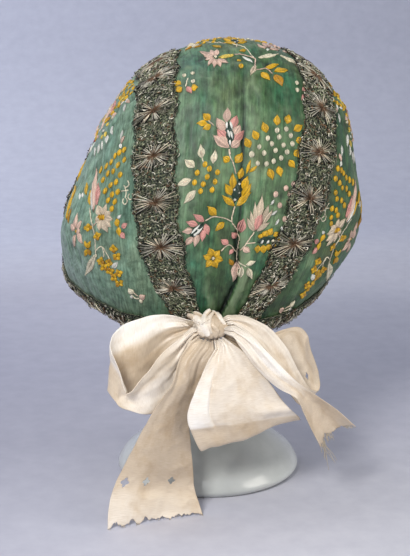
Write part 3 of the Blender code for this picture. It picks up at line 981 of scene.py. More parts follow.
def closed_wall(name, front, back, look, flat, keep=None, tones=None):
    """A closed wall between two grids of points, without the cells that keep leaves out."""
    rows, columns = front.shape[:2]
    count = rows * columns
    cells = cells_of(rows, columns)
    keep = np.ones(cells.shape[:2], bool) if keep is None else keep
    quads = [cells[keep][:, ::-1], cells[keep] + count]
    padded = np.pad(keep, 1)
    sides = (
        (padded[:-2, 1:-1], (3, 0)), (padded[2:, 1:-1], (1, 2)),
        (padded[1:-1, :-2], (0, 1)), (padded[1:-1, 2:], (2, 3)),
    )
    for neighbour, (a, b) in sides:
        edge = cells[keep & ~neighbour]
        quads.append(np.stack([edge[:, a], edge[:, b], edge[:, b] + count, edge[:, a] + count], axis=1))
    quads = np.concatenate(quads)
    used, index = np.unique(quads, return_inverse=True)
    vertices = np.concatenate([front.reshape(-1, 3), back.reshape(-1, 3)])[used]
    flat = np.concatenate([flat, flat])[used]
    made = quad_mesh(name, vertices, index.reshape(-1, 4), look, flat)
    if tones is not None:
        set_tone(made, np.concatenate([tones, tones])[used])
    return made


def panel(name, node_name, u_from, u_to, cells, look):
    v = np.linspace(0, 1, ARC_CELLS + 1)[:, None]
    u = np.linspace(u_from, u_to, cells + 1)[None, :]
    turn = turn_at(u, v)
    v = v + 0 * turn
    outer = cloth_point(turn, v)
    inner = outer - cap_normal(turn, v) * CLOTH
    flat = np.stack([(turn * FLAT_ACROSS * MM).ravel(), (v * FLAT_ALONG * MM).ravel()], axis=1)
    made = outward(closed_wall(name, outer, inner, look, flat))
    # How far the silk stands above or below its blurred self, which the silk's colour turns into painted
    # highlights on ridges and painted shade in valleys.
    depth = (relief_at(turn, v) - blurred_at(turn, v)).ravel()
    layer = made.data.attributes.new(name="fold", type="FLOAT", domain="POINT")
    layer.data.foreach_set("value", np.concatenate([depth, depth]))
    ride(made)
    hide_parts(node_name)


def blurred(grid, reach):
    """A grid averaged over a square of cells on each side."""
    size = 2 * reach + 1
    for axis in (0, 1):
        pad = [(reach, reach) if k == axis else (0, 0) for k in (0, 1)]
        total = np.cumsum(np.pad(grid, pad, mode="edge"), axis=axis)
        total = np.insert(total, 0, 0, axis=axis)
        cells = total.shape[axis]
        ahead = np.take(total, range(size, cells), axis=axis)
        grid = (ahead - np.take(total, range(cells - size), axis=axis)) / size
    return grid


BLURRED = blurred(RELIEF, BLUR_CELLS)


def blurred_at(turn, v):
    k = np.clip(((turn / math.pi + 0.5) * TURN_CELLS).astype(int), 0, TURN_CELLS)
    i = np.clip((v * V_CELLS).astype(int), 0, V_CELLS)
    return BLURRED[i, k]


def cap_panels():
    silk = silk_material()
    panel("silk_centre", "centre_panel", -1, 1, MIDDLE_CELLS, silk)
    panel("silk_left", "side_panel_left", -1, -2, SIDE_CELLS, silk)
    panel("silk_right", "side_panel_right", 1, 2, SIDE_CELLS, silk)


# Embroidery

PIXEL_MM = 0.78
PETAL_FULL = 1.16
DOT_FULL = 0.95

CENTRE_STEMS = [
    Stem([
        (236.5, 260.3), (238.2, 248.2), (239.4, 237.9), (237.1, 229.9), (231.9, 221.8), (234.8, 206.3),
    ], 1.1, SAND),
    Stem([(235.9, 174.2), (233.1, 163.3), (229.6, 154.7), (229.1, 148.9)], 1, SAND),
    Stem([(231.9, 221.8), (226.8, 219), (219.9, 217.2), (213.6, 216.7), (205.5, 220.7)], 1, SAND),
    Stem([(236, 251.7), (228.5, 244.8), (221, 251.1)], 1, SAND),
    Stem([(239.4, 249.4), (246.3, 243.6), (249.7, 238.5), (254.3, 232.2)], 1, SAND),
    Stem([(246.3, 243.6), (255.5, 242.5)], 1, SAND),
    Stem([(238.2, 261.4), (244, 265.5), (246.3, 266.6)], 1, CREAM),
    Stem([(202.1, 158.1), (203.8, 163.3)], 1, CREAM),
    Stem([(208, 120.3), (214.1, 125.7)], 1, SAND),
    Stem([(188.1, 78.2), (185.8, 86.6)], 1, CREAM),
    Stem([(254.6, 70.1), (255.4, 59.1)], 1.1, BLUSH),
    Stem([(256.2, 69.8), (268.4, 70.1), (272.3, 73.6)], 1, BLUSH),
    Stem([(255.4, 59.1), (244.7, 55.3), (234.8, 54.5)], 1, BLUSH),
    Stem([(204.9, 42.2), (237, 45.3), (253.9, 57.6)], 0.9, CREAM),
    Stem([(229.2, 149.1), (230.3, 154)], 1, BLUSH),
]

CENTRE_PETALS = [
    Run(SHADE_TEAL, [
        (234.5, 203, 239.5, 178.5, 7.5), (230.3, 146.5, 228, 121.5, 8.5), (257, 242.5, 275, 237.5, 5),
        (190, 238, 203, 223.5, 6),
    ]),
    Run(YELLOW, [
        (233.1, 189.7, 232.5, 172.5, 5), (231.9, 195.4, 224.7, 183.4, 5),
        (234.8, 206.3, 222.2, 195.4, 4.5), (239.4, 179.4, 242.3, 167.3, 5), (242.8, 189.7, 248, 175.9, 5),
        (241.7, 197.7, 251.4, 183.4, 5), (235.9, 206.9, 251.4, 192, 5),
    ]),
    Run(PINK, [(204.4, 221.8, 192.9, 213.8, 4.6), (198.1, 225.3, 185.7, 221.8, 4.6)]),
    Run(BLUSH, [(193.5, 229.9, 182, 231.6, 4.6)]),
    Run(PINK, [(205, 223.6, 208.4, 235, 4.6), (203.2, 228.7, 202.1, 241.9, 4.6)]),
    Run(BLUSH, [(198.1, 233.3, 194.6, 247.1, 4.6), (193.5, 236.2, 184.3, 245.9, 4.6)]),
    Run(YELLOW, [(216.4, 215.5, 207.2, 206.3, 5.5), (224.5, 221.8, 215.3, 231, 5)]),
    Run(PINK, [
        (240, 232.7, 244, 217.8, 5.5), (237.1, 238.5, 231.4, 232.7, 4.5), (228.5, 244.2, 221, 239.6, 4.5),
        (233.1, 248.8, 229.1, 254.6, 3),
    ]),
    Run(BLUSH, [(242.8, 247.1, 250.3, 252.3, 4.5), (237.1, 260.9, 233.1, 281.5, 6.3)]),
    Run(GOLD, [(233.1, 265.5, 229.1, 258.6, 3.5)]),
    Run(CREAM, [
        (245.7, 264.9, 256, 260.9, 4), (241.7, 266, 240, 278.1, 4), (247.4, 267.8, 252, 279.2, 4.5),
    ]),
    Run(SAND, [
        (254.3, 231.6, 246.8, 217.8, 4), (253.7, 228.7, 250.3, 210.4, 3.5),
        (256, 221.8, 254.9, 201.7, 3.5), (257.8, 221.8, 262.3, 193.7, 5), (262.3, 221.8, 269, 203.5, 3.5),
        (262.3, 225.3, 272.7, 209.2, 3), (256.6, 231.6, 270.4, 221.8, 4),
    ]),
    Run(PINK, [(255.5, 231, 261.2, 209.2, 7)]),
    Run(YELLOW, [
        (259.5, 238.5, 261.2, 233.3, 4), (263.5, 236.8, 267, 230, 4.5), (268.1, 235.6, 272.7, 228.1, 4.5),
        (273.3, 236.2, 279.6, 232.2, 4.5), (275, 238.5, 281.9, 238.5, 4), (273.3, 241.9, 275, 248.2, 4),
        (268.7, 243.6, 268, 250.5, 4.5), (262.9, 244.8, 263.5, 253.4, 4.5),
        (257.8, 244.8, 256.6, 253.4, 4.5),
    ]),
    Run(WHITE, [
        (270.4, 205.2, 274.4, 198.9, 1.5), (270.4, 215.5, 277.3, 209.8, 1.5),
        (275, 225.3, 279, 217.8, 1.5), (280.7, 231, 281.9, 225.3, 1.5),
    ]),
    Run(BLUSH, [(226.4, 123, 227.6, 107.5, 5.6), (225, 132, 216.4, 117.6, 6)]),
    Run(PINK, [(226.5, 139.5, 216.6, 128.8, 6)]),
    Run(BLUSH, [(229.5, 147.8, 213, 135.3, 6.5), (228.5, 143.5, 218.5, 134, 5)]),
    Run(PINK, [(231.5, 129, 236.8, 115.2, 6)]),
    Run(BLUSH, [(233.5, 136, 240.4, 124, 6)]),
    Run(PINK, [(233, 142, 244.2, 130.6, 6)]),
    Run(BLUSH, [(231, 147.8, 241, 139, 6)]),
    Run(WHITE, [
        (226.6, 121, 226.8, 129.5, 1.6), (227, 129, 230.2, 139, 1.6), (229.6, 121, 232.6, 130.5, 1.6),
        (230.2, 130, 232.6, 140, 1.6), (229.8, 139, 230.2, 146, 1.5), (193, 237, 203.5, 226, 1.6),
        (190.5, 234.5, 200.5, 223.8, 1.6), (193.5, 233, 197, 236, 1.4), (197, 228.5, 200.5, 231.5, 1.4),
        (260, 243.5, 263.5, 239, 1.6), (266, 243.5, 269, 239, 1.6),
    ]),
    Run(CREAM, [
        (271, 242, 274, 238.5, 1.6), (202.1, 158.6, 200.4, 144, 5), (213, 163.8, 215.3, 149.4, 4.8),
        (194.6, 167.3, 184.6, 159.6, 5.4), (191.6, 179.4, 175.8, 185.6, 5.4),
        (196.2, 189.6, 183.6, 203.8, 5.4),
    ]),
    Run(SAND, [
        (201.9, 156.5, 200.8, 149.5, 1.6), (213.3, 161.5, 214.6, 155.5, 1.6),
        (192, 165.5, 188, 162.5, 1.6), (188.5, 180.5, 181.5, 183.4, 1.6), (193, 193, 187.5, 199, 1.6),
    ]),
    Run(YELLOW, [
        (229.6, 161.6, 222.7, 157, 5), (235.4, 163.3, 242.3, 152.4, 6), (246.3, 174.2, 250.9, 159.3, 2.5),
        (249.1, 172.5, 257.2, 165.6, 2.5), (210.3, 120.3, 202.6, 113.4, 5),
        (207.2, 123.4, 196.5, 123.4, 4.5), (211, 124.9, 202.6, 129.5, 5), (181.2, 84.3, 172, 82, 5),
        (182, 87, 175, 92.5, 6), (191.1, 88.9, 198, 86.9, 6),
    ]),
    Run(PINK, [
        (186.5, 86.6, 191.9, 93.5, 4), (302.9, 86.6, 305.2, 94.3, 3), (305.2, 94.3, 301.3, 101.2, 3.5),
    ]),
    Run(BLUSH, [(305.2, 94.3, 309, 98.1, 3.5)]),
    Run(YELLOW, [
        (264.6, 68.3, 279.1, 64.4, 5), (260.8, 72.1, 270.7, 80.5, 6), (273.8, 72.1, 288.3, 70.1, 6),
    ]),
    Run(GOLD, [(274.6, 74.4, 283, 86.6, 7)]),
    Run(YELLOW, [(240.1, 59.8, 237, 62, 3), (246.2, 49.9, 238.6, 51.4, 3.5)]),
    Run(WHITE, [(253.1, 62.9, 241.6, 56, 2.5)]),
    Run(GOLD, [(176.6, 55.3, 185, 48.4, 3), (185, 51.4, 195.7, 46.1, 3), (194.2, 48.4, 202.6, 44.5, 3)]),
]
CENTRE_COMBS = [
    ((258.5, 58.3), (281.0, 55.0), 5.0, CREAM), ((279.9, 55.3), (306.0, 70.6), 5.0, CREAM),
    ((234.0, 55.5), (216.0, 57.5), 5.0, LEMON), ((255.4, 66.0), (249.5, 78.0), 4.0, SAND),
]
CENTRE_STARS = [
    Star((213, 258.3), [
        (209, 247.7), (219.9, 250), (223.3, 260.3), (216.4, 268.3), (205.5, 267.2), (203.2, 255.7),
    ], 5, YELLOW, CREAM),
    Star((215.6, 56.8), [
        (198.8, 51.4), (203, 55.5), (204.9, 60.8), (217, 49), (214, 68), (208, 66), (221, 67.5),
        (228.6, 62.9), (210.3, 49.9),
    ], 4.2, BLUSH, CREAM),
    Star((267.7, 49.9), [
        (256.2, 44.5), (262, 43), (268, 42), (274, 44), (279.1, 49.9),
    ], 4.5, BLUSH, WHITE),
]
CENTRE_DOTS = [
    Run(YELLOW, [
        (205, 164.4, 4.6), (209.3, 168.8, 4.6), (217.6, 172.2, 4.6), (197.1, 172.7, 4.6),
        (207.2, 176.8, 4.6), (194.4, 182.6, 4.6), (215.1, 181.7, 4.6), (203.2, 184.2, 4.6),
        (200.4, 191.1, 4.6), (212.1, 189.9, 4.6),
    ]),
    Run(BLUSH, [
        (275.6, 194.3, 4.8), (285.9, 188, 4.8), (293.3, 184, 4.8), (289.9, 194.3, 4.8),
        (279.6, 205.2, 4.8), (291, 205.8, 4.8), (284.7, 219, 4.8),
    ]),
    Run(CREAM, [
        (251.8, 154.3, 5), (257.5, 163.2, 4.3), (259.1, 146.6, 4.3), (264.1, 153, 4.3),
        (267.7, 138.2, 4.3), (271.8, 143.6, 4.3), (277, 130.2, 4.3), (275.4, 150.2, 4.3),
        (279.1, 136.8, 4.3), (286.1, 128.9, 4.3), (283.4, 144.8, 4.3), (290.5, 135.5, 4.3),
        (292.1, 143.6, 4.3), (287, 151.8, 4.3), (281.1, 158, 4.3), (273.6, 161.1, 4.3),
        (266.4, 163.8, 4.3), (184.2, 75.6, 4), (192.7, 73.3, 4), (193, 81.3, 4), (296.7, 82.8, 4),
        (304.7, 83.3, 4), (297.1, 90, 4),
    ]),
    Run(WHITE, [(238.8, 184, 3), (234.6, 189.7, 2.6), (238.6, 192.6, 2.8), (234.8, 199.5, 2.6)]),
    Run(YELLOW, [(241, 66, 4.6)]),
]
# Buds: base pixel and tip pixel.
CENTRE_BUDS = [
    (250.4, 147.7, 245, 137.9), (257.9, 140, 252.9, 130.2), (266.8, 132.9, 262.3, 121.3),
    (277, 125.7, 277, 114.1), (286.8, 123.9, 289.1, 114.1), (293.6, 131.1, 302.5, 124.8),
    (295.7, 141.8, 303.9, 139.1), (294.5, 149.8, 299.8, 157.9), (288.6, 160, 295, 167.7),
    (277.9, 165.9, 281.4, 177.1), (268.2, 168.2, 273, 180.2),
]
BUD_WIDTH = 6.0


def petals_of(runs):
    """A table's petals at their full width."""
    return [
        Petal(row[:2], row[2:4], row[4] * PETAL_FULL, run.thread) for run in runs for row in run.rows
    ]


def dots_of(runs):
    return [Dot(row[:2], row[2] * DOT_FULL, run.thread) for run in runs for row in run.rows]


def centre_design():
    return CENTRE_STEMS + petals_of(CENTRE_PETALS) + dots_of(CENTRE_DOTS)


def lay_stars(stitches, stars):
    for centre, tips, width, petals, heart in stars:
        middle = spot(centre)
        for tip in tips:
            tip = spot(tip)
            lay_petal(stitches, middle * 0.85 + tip * 0.15, tip, width * PETAL_FULL, petals)
        lay_design(stitches, [Dot(centre, 3.4 * PIXEL_MM, heart)])


FOREHEAD_FROM = 0.33
FOREHEAD_SHIFT = 0.41
RIM_CALM = 0.045


def repeated(stitches, change, keep):
    """Adds the stitches again where change takes them and keep allows them."""
    for k in range(len(stitches.lines)):
        line = change(stitches.lines[k])
        if keep(line):
            stitches.copy(stitches, k, line)


def embroidery_centre(look):
    """The middle panel's design, with its upper motifs again over the forehead."""
    stitches = Stitches()
    lay_design(stitches, centre_design())
    lay_stars(stitches, CENTRE_STARS)
    for base, tip, width, thread in CENTRE_COMBS:
        lay_comb(stitches, spot(base), spot(tip), width, thread)
    for row in CENTRE_BUDS:
        lay_bud(stitches, row[:2], row[2:], BUD_WIDTH * PETAL_FULL * 0.85, YELLOW, LEMON)
    repeated(
        stitches, lambda line: line + np.array([0.0, FOREHEAD_SHIFT]),
        lambda line: line[:, 1].min() > FOREHEAD_FROM + FOREHEAD_SHIFT and line[:, 1].max() < 1 - RIM_CALM,
    )
    return stitched("embroidery_centre", stitches, look)


# Side panels: the left one's design, which the right one mirrors.
SIDE_STEMS = [
    Stem([(96.3, 256.5), (95.4, 246), (94.7, 234.6), (91.4, 219.4), (89.8, 208)], 1.2, CREAM),
    Stem([(96, 250.5), (101.2, 246.5), (107.7, 255.1), (113.1, 267)], 1.1, CREAM),
    Stem([(102.5, 247.5), (103.6, 251), (103.9, 257.3)], 1.1, CREAM),
    Stem([(93.6, 225.7), (96.8, 222), (98.5, 219.5)], 1, BLUSH),
    Stem([(131, 295), (135, 297.8), (139.5, 298.5)], 1.3, CREAM),
    Stem([(133, 292.5), (138, 296)], 1.2, SAND),
    Stem([(127.7, 180.5), (129.2, 184.5), (126.6, 187.2), (123.8, 185.5)], 1, CREAM),
    Stem([(132.3, 193.5), (133.6, 196.8), (130.9, 199.5), (128.2, 196.8), (129.6, 193.6)], 1, CREAM),
    Stem([(126, 198.2), (127.6, 201), (125.2, 204.2), (122.6, 201.6), (123.8, 198.4)], 1, CREAM),
    Stem([(121.2, 191.2), (128.8, 190.1)], 1, CREAM),
    Stem([(125, 187), (126.4, 193), (125.4, 198)], 1, CREAM),
    Stem([(112, 111.5), (106.5, 117.5), (103, 123.5), (98.5, 129.5), (93, 138)], 1.1, WHITE),
]
SIDE_COMBS = [
    ((96.3, 254.5), (84.4, 277.5), 7.0, CREAM), ((97.0, 205.0), (99.2, 179.5), 5.5, PINK),
    ((126.0, 96.0), (113.5, 111.0), 5.5, LEMON),
]
SIDE_BERRIES = [
    (124.5, 149.8), (119.8, 152.5), (115.4, 156.1), (111.4, 162), (106.6, 166.1), (101.3, 170),
    (124.5, 159.6), (118.2, 165), (113.6, 171.3), (108.2, 173.6), (103.4, 179.8), (120.4, 174.8),
    (116.3, 182), (110.9, 185), (105.4, 190.9), (118, 191.8), (112.3, 194.5), (108.4, 200.2),
    (115, 201.6), (112.1, 208.8),
]
SIDE_PETALS = [
    Run(BLUSH, [(94, 213, 96.3, 167.4, 6)]),
    Run(WHITE, [(92.6, 212, 92.5, 186, 3.5)]),
    Run(YELLOW, [(90.4, 206, 90.4, 189, 4), (86.6, 195.5, 86.6, 181.4, 4)]),
    Run(WHITE, [(80, 199.9, 80, 193, 2.2), (83.3, 197.7, 83.3, 191, 2.2)]),
    Run(YELLOW, [
        (66.8, 220.4, 68.6, 200, 5), (68.6, 211.5, 71, 193, 5), (70.6, 204.5, 73.4, 188, 5),
        (72.8, 199, 76.6, 182.5, 4.5),
    ]),
    Run(GOLD, [(68.5, 224, 71.5, 208, 4)]),
    Run(YELLOW, [
        (87.9, 248.6, 84.9, 240, 3.5), (87.9, 248.6, 91, 240.5, 3.5), (87.9, 248.6, 85, 256.5, 3.5),
    ]),
    Run(GOLD, [(87.9, 248.6, 91.2, 256, 3.5)]),
    Run(WHITE, [(112.6, 268.5, 118, 261.5, 4)]),
    Run(YELLOW, [(116.4, 218.4, 118.5, 227.5, 4), (118, 226.5, 119.8, 236.6, 4)]),
    Run(WHITE, [(117.5, 219, 121.5, 214.5, 2.6)]),
    Run(PINK, [(121.5, 227.5, 127.5, 223.5, 4), (120.5, 232.5, 125.5, 238.5, 4)]),
    Run(CREAM, [(133.8, 294.2, 128, 288, 4.6)]),
    Run(BLUSH, [(139.5, 298.5, 145.5, 295, 4.6)]),
    Run(CREAM, [(140.5, 298.5, 142.3, 303.5, 3)]),
    Run(WHITE, [(130.5, 295, 133, 299, 2.2)]),
    Run(BLUSH, [(112, 114.8, 118.6, 115.4, 4.6)]),
    Run(CREAM, [(111.5, 118, 116.5, 118.5, 3)]),
    Run(WHITE, [
        (111.8, 126, 113, 136.4, 4), (107.4, 135, 106.5, 144.6, 3.6), (102.7, 140.5, 101.8, 151, 2.8),
        (99.6, 143.5, 97.4, 154.5, 2.8), (95.4, 147, 95.4, 158, 2.8), (93.8, 145, 90.3, 153, 2.4),
    ]),
    Run(BLUSH, [(99, 137, 94.3, 143, 2.6)]),
    Run(ROSE, [(96, 139.5, 94, 142.5, 2.4)]),
    Run(WHITE, [(104.5, 129.5, 103, 133, 2.4), (101.5, 129.5, 98.3, 134.5, 2.4)]),
    Run(LEMON, [
        (106, 131.5, 105.8, 137.5, 3.2), (102.2, 135, 102, 140.5, 3), (108.5, 123, 107, 127.5, 3),
    ]),
    Run(GOLD, [(110, 116.5, 107.8, 122, 3.4)]),
    Run(WHITE, [(122.6, 129.5, 120.8, 140.5, 2.4)]),
    Run(BLUSH, [(124.6, 135.5, 121.4, 144.5, 3)]),
    Run(WHITE, [(120.2, 143.5, 121.5, 149, 2.4), (125, 101.5, 120.5, 105.5, 2)]),
]
SIDE_STARS = [
    Star((101.7, 217.2), [
        (113.6, 219.8), (111.2, 227.4), (107.9, 233), (99.4, 231), (95, 221), (97.6, 204.8),
        (106.8, 203.6), (111.6, 212.6),
    ], 5.4, SAND, GOLD),
    Star((76.3, 231.3), [
        (77.5, 213), (82.2, 220), (83.2, 243.6), (74.4, 247.2), (71.4, 224.4), (80.5, 231.5),
    ], 5, BLUSH, YELLOW),
]
DAISY_HEART = (4.4, 5.4)
SIDE_BLOSSOMS = [
    (113.7, 248.6), (116.9, 256.4), (101.2, 261.0), (104.2, 267.0), (109.2, 262.7), (114.2, 277.2),
    (118.9, 273.2), (119.4, 283.2), (110.4, 271.0), (88.7, 227.5), (97.4, 236.0),
]
BLOSSOM_PETALS = 4
BLOSSOM_REACH = 4.6
SIDE_TURN = 1.22
SIDE_LIMIT = 1.5
# The same flower's middle on the two side panels, which sets how far the right design is shifted.
LEFT_DAISY = (101.7, 217.2)
RIGHT_DAISY = (336.5, 230.0)


def lay_blossom(stitches, centre):
    """A small flower of a few short petals."""
    start = chance.uniform(0, 6.28)
    for k in range(BLOSSOM_PETALS):
        angle = start + 2 * math.pi * k / BLOSSOM_PETALS + chance.uniform(-0.3, 0.3)
        tip = (centre[0] + BLOSSOM_REACH * math.cos(angle), centre[1] + BLOSSOM_REACH * math.sin(angle))
        thread = YELLOW if k else GOLD
        lay_petal(stitches, spot(centre), spot(tip), 3.6, thread)


def lay_heart(stitches, centre, across, tall):
    """A flower's middle, of crossed short stitches."""
    for k in range(4):
        shift = (k - 1.5) / 4 * across * 1.7
        low = (centre[0] + shift - 1.0, centre[1] + tall / 1.6)
        high = (centre[0] + shift + 1.0, centre[1] - tall / 1.6)
        thread = YELLOW if k % 2 else GOLD
        lay_petal(stitches, spot(low), spot(high), 1.5, thread, pointed=False, count=2, lift=0.5)


def clear_of_lace(stitches):
    """The stitches that stay on the side panel, clear of its band and its rim."""
    kept = Stitches()
    for k, line in enumerate(stitches.lines):
        turn, v = np.abs(line[:, 0]), line[:, 1]
        inside = np.clip(v, 0, 1)
        lace = seam_turn(inside) + (band_half(inside) + 1.0) / turn_speed(seam_turn(inside), inside)
        if (turn > lace).all() and v.min() > RIM_CALM and v.max() < 1 - RIM_CALM and turn.max() < SIDE_LIMIT:
            kept.copy(stitches, k, line)
    return kept


def embroidery_side(word, side, look):
    stitches = Stitches()
    lay_design(stitches, SIDE_STEMS)
    lay_design(stitches, petals_of(SIDE_PETALS))
    for centre in SIDE_BERRIES:
        top = (centre[0] + 0.6, centre[1] - 3.4)
        bottom = (centre[0] - 0.6, centre[1] + 3.4)
        lay_petal(stitches, spot(bottom), spot(top), 4.2, YELLOW, pointed=False, count=3)
    for centre in SIDE_BLOSSOMS:
        lay_blossom(stitches, centre)
    lay_stars(stitches, SIDE_STARS)
    lay_heart(stitches, LEFT_DAISY, *DAISY_HEART)
    for base, tip, width, thread in SIDE_COMBS:
        lay_comb(stitches, spot(base), spot(tip), width, thread)
    repeated(
        stitches, lambda line: np.array([0.0, SIDE_TURN]) + line * np.array([1.0, -1.0]),
        lambda line: line[:, 1].min() > SIDE_TURN / 2 + 0.02 and line[:, 1].max() < 1 - RIM_CALM,
    )
    if side > 0:
        mirror = np.array([-1.0, 1.0])
        shift = spot(RIGHT_DAISY) - spot(LEFT_DAISY) * mirror
        stitches.lines = [line * mirror + shift for line in stitches.lines]
        stitches = clear_of_lace(stitches)
    return stitched("embroidery_" + word, stitches, look)


# Metal lace

LACE_LIFT = 0.5
LACE_THICK = 0.5
EDGING_LIFT = 0.9
LACE_GAP = 0.6
BAND_ROWS = 260
BAND_COLUMNS = 16
NET_PITCH = 2.9
NET_WIDTH = 0.42
CURLS = 2300
EDGING_CURLS = 2200
RAY_COUNT = 19
PICOT_PITCH = 3.1
SEAM_SAMPLES = 400
PICOT_STEPS = 7
STRAND_STEPS = 12
STRAND_LEAN = 30.0
STRAND_PAST = 20.0
CORD_STEP = 1.3
CORD_HALF = 0.34
CORD_INSET = 0.3
METAL_DARK = (44, 45, 36)
METAL_GREY = (150, 148, 126)
METAL_WARM = (136, 104, 76)
METAL_PALE = (226, 220, 200)
METAL_CREAM = (250, 236, 206)
METAL_GREEN = (160, 166, 132)
TANGLE = (METAL_DARK, METAL_GREY, METAL_GREEN, METAL_GREEN, METAL_WARM, METAL_PALE, METAL_PALE)


def reach_of(turn, v):
    point = bare_point(turn, v)
    return np.hypot(point[..., 1] - JAW_Y, point[..., 2] - JAW_Z)


def v_from_edge(turn, v, distance):
    return distance / (reach_of(turn, v) * math.radians(ARC_FACE - ARC_NECK))


class Band:
    """The strip of lace over a seam: its own length and width in mm against the cap."""

    def __init__(self, side):
        self.side = side
        self.shares = np.linspace(0, 1, SEAM_SAMPLES)
        self.lengths = lengths_along(bare_point(seam_turn(self.shares), self.shares))
        self.length = self.lengths[-1]

    def half(self, s):
        v = np.interp(s, self.lengths, self.shares)
        wave = np.cos((s - FIRST_STAR) / STAR_PITCH * 2 * math.pi)
        uneven = 0.45 * np.sin(s * 0.83) + 0.4 * np.sin(s * 2.1 + 1.0)
        return band_half(v) + (SCALLOP * 0.55 * wave + uneven) * smooth_step(0, BAND_TAPER_END, v)

    def place(self, s, off):
        """Turn and v at s along the seam and off to the outside of it."""
        share = np.interp(s, self.lengths, self.shares)
        seam = seam_turn(share)
        turn = seam + off / turn_speed(seam, share)
        start = v_from_edge(turn, 0 * turn, EDGING + LACE_GAP)
        end = v_from_edge(turn, 0 * turn + 1, EDGING + LACE_GAP)
        return self.side * turn, start + (1 - end - start) * share


class Rim:
    """The edging's own length round the rim, and its width in from the edge."""

    def __init__(self):
        turns = np.linspace(0.5, math.pi / 2, 400)
        inner = v_from_edge(turns, 0 * turns + 0.5, EDGING)
        corner = turns[np.argmax(inner >= 0.5)]
        sections = []
        across = np.array([0.0, 1.0])
        for edge, cells, way in ((0, 120, 1), (1, 140, -1)):
            for turn in np.linspace(-corner, corner, cells + 1)[::way]:
                deep = min(float(v_from_edge(turn, edge, EDGING)), 0.5)
                sections.append((0 * across + turn, abs(edge - across * deep)))
            end = way * math.pi / 2
            sections.append((end + (way * corner - end) * across, 0 * across + 0.5))
        sections.append(sections[0])
        self.turn = np.array([section[0] for section in sections])
        self.v = np.array([section[1] for section in sections])
        self.lengths = lengths_along(bare_point(self.turn[:, 0], self.v[:, 0]))
        self.length = self.lengths[-1]

    def place(self, s, off):
        """Turn and v at s round the edge and off in from it."""
        at = np.interp(s % self.length, self.lengths, np.arange(len(self.lengths)))
        low = np.clip(at.astype(int), 0, len(self.lengths) - 2)
        part = at - low
        share = np.clip(off / EDGING, -0.25, 1.15)
        values = []
        for grid in (self.turn, self.v):
            outer = grid[low, 0] * (1 - part) + grid[low + 1, 0] * part
            inner = grid[low, 1] * (1 - part) + grid[low + 1, 1] * part
            values.append(outer + (inner - outer) * share)
        turn = np.clip(values[0], -math.pi / 2, math.pi / 2)
        return turn, values[1]


class Threads:
    """Threads in the lace's own plane, each a line of (s, off, height) in mm."""

    def __init__(self):
        self.groups = {}

    # shine scales a thread's colour at random: uneven tarnish, and painted glints where it is above one.
    def add(self, line, width, thread, shine=1.0):
        line = np.asarray(line, float)
        colour = np.array(srgb(*thread)[:3]) * shine
        self.groups.setdefault(len(line), []).append((line, width, colour))


def lace_threads(name, threads, place, lift, look):
    """Makes one object of all the threads, which are grouped by their count of steps."""
    parts = []
    for steps, group in sorted(threads.groups.items()):
        lines = np.array([item[0] for item in group])
        turn, v = place(lines[..., 0], lines[..., 1])
        centre = cloth_point(turn, v, lift + lines[..., 2])
        normal = cloth_normal(turn, v)
        width = np.array([item[1] for item in group])[:, None] + 0 * lines[..., 0]
        points = swept(centre, normal, width, width * 0.9, WIRE_FORM)
        colours = np.array([item[2] for item in group])
        parts.append(joined(points, WIRE_FORM, WIRE_SHADE, colours, name, look))
    ride(merged(name, parts))


def merged(name, parts):
    """One object from several."""
    first = parts[0]
    if len(parts) > 1:
        with bpy.context.temp_override(
            active_object=first, selected_objects=parts, selected_editable_objects=parts
        ):
            bpy.ops.object.join()
    first.name = name
    first.data.name = name
    return first


def curl(s, off, size, way, height):
    """A small open loop of wire."""
    steps = np.linspace(0, 1, 6)
    angle = way + steps * chance.uniform(1.0, 3.4)
    radius = size * (0.6 + 0.4 * steps)
    rise = height + np.sin(np.pi * steps) * chance.uniform(0.2, 1.0)
    return np.stack([s + radius * np.cos(angle), off + radius * np.sin(angle), rise], axis=1)


def ray(s, off, angle, start, end, height):
    """A hairpin of thread that runs out from a star's middle and back."""
    along = np.array([start, start + (end - start) * 0.35, start + (end - start) * 0.75, end])
    rise = height + np.array([0.1, 0.7, 0.6, 0.0]) * 0.8
    return np.stack([s + along * np.cos(angle), off + along * np.sin(angle), rise], axis=1)


def band_lace(side, word, net, metal):
    band = Band(side)
    s = np.linspace(0, band.length, BAND_ROWS + 1)[:, None]
    share = np.linspace(-1, 1, BAND_COLUMNS + 1)[None, :]
    off = band.half(s) * share
    s = s + 0 * off
    turn, v = band.place(s, off)
    rough = 0.25 * np.sin(s * 2.1 + off * 1.3) * np.sin(off * 2.3 - s * 0.7)
    base = cloth_point(turn, v, LACE_LIFT - 0.1)
    top = cloth_point(turn, v, LACE_LIFT + LACE_THICK + rough)
    flat = np.stack([s.ravel(), off.ravel()], axis=1) * MM
    sheet = outward(closed_wall("lace_ground_" + word, top, base, net, flat))
    ride(sheet)
    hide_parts("lace_band_" + word)
    threads = Threads()
    lift = LACE_LIFT + LACE_THICK
    net_strands(threads, 0.0, band.length, lambda at: -band.half(at), band.half)
    for _ in range(CURLS):
        at = chance.uniform(0, band.length)
        half = float(band.half(at))
        away = chance.uniform(-1, 1)
        thread = chance.choice(TANGLE)
        threads.add(
            curl(at, away * half, chance.uniform(0.8, 2.2), chance.uniform(0, 6.28), chance.uniform(0, 0.9)),
            chance.uniform(0.18, 0.38), thread, chance.uniform(0.6, 2.0),
        )
    for star in np.arange(FIRST_STAR, band.length, STAR_PITCH):
        star_rays(threads, star, float(band.half(star)))
    border(threads, band)
    lace_threads("lace_threads_" + word, threads, band.place, lift, metal)


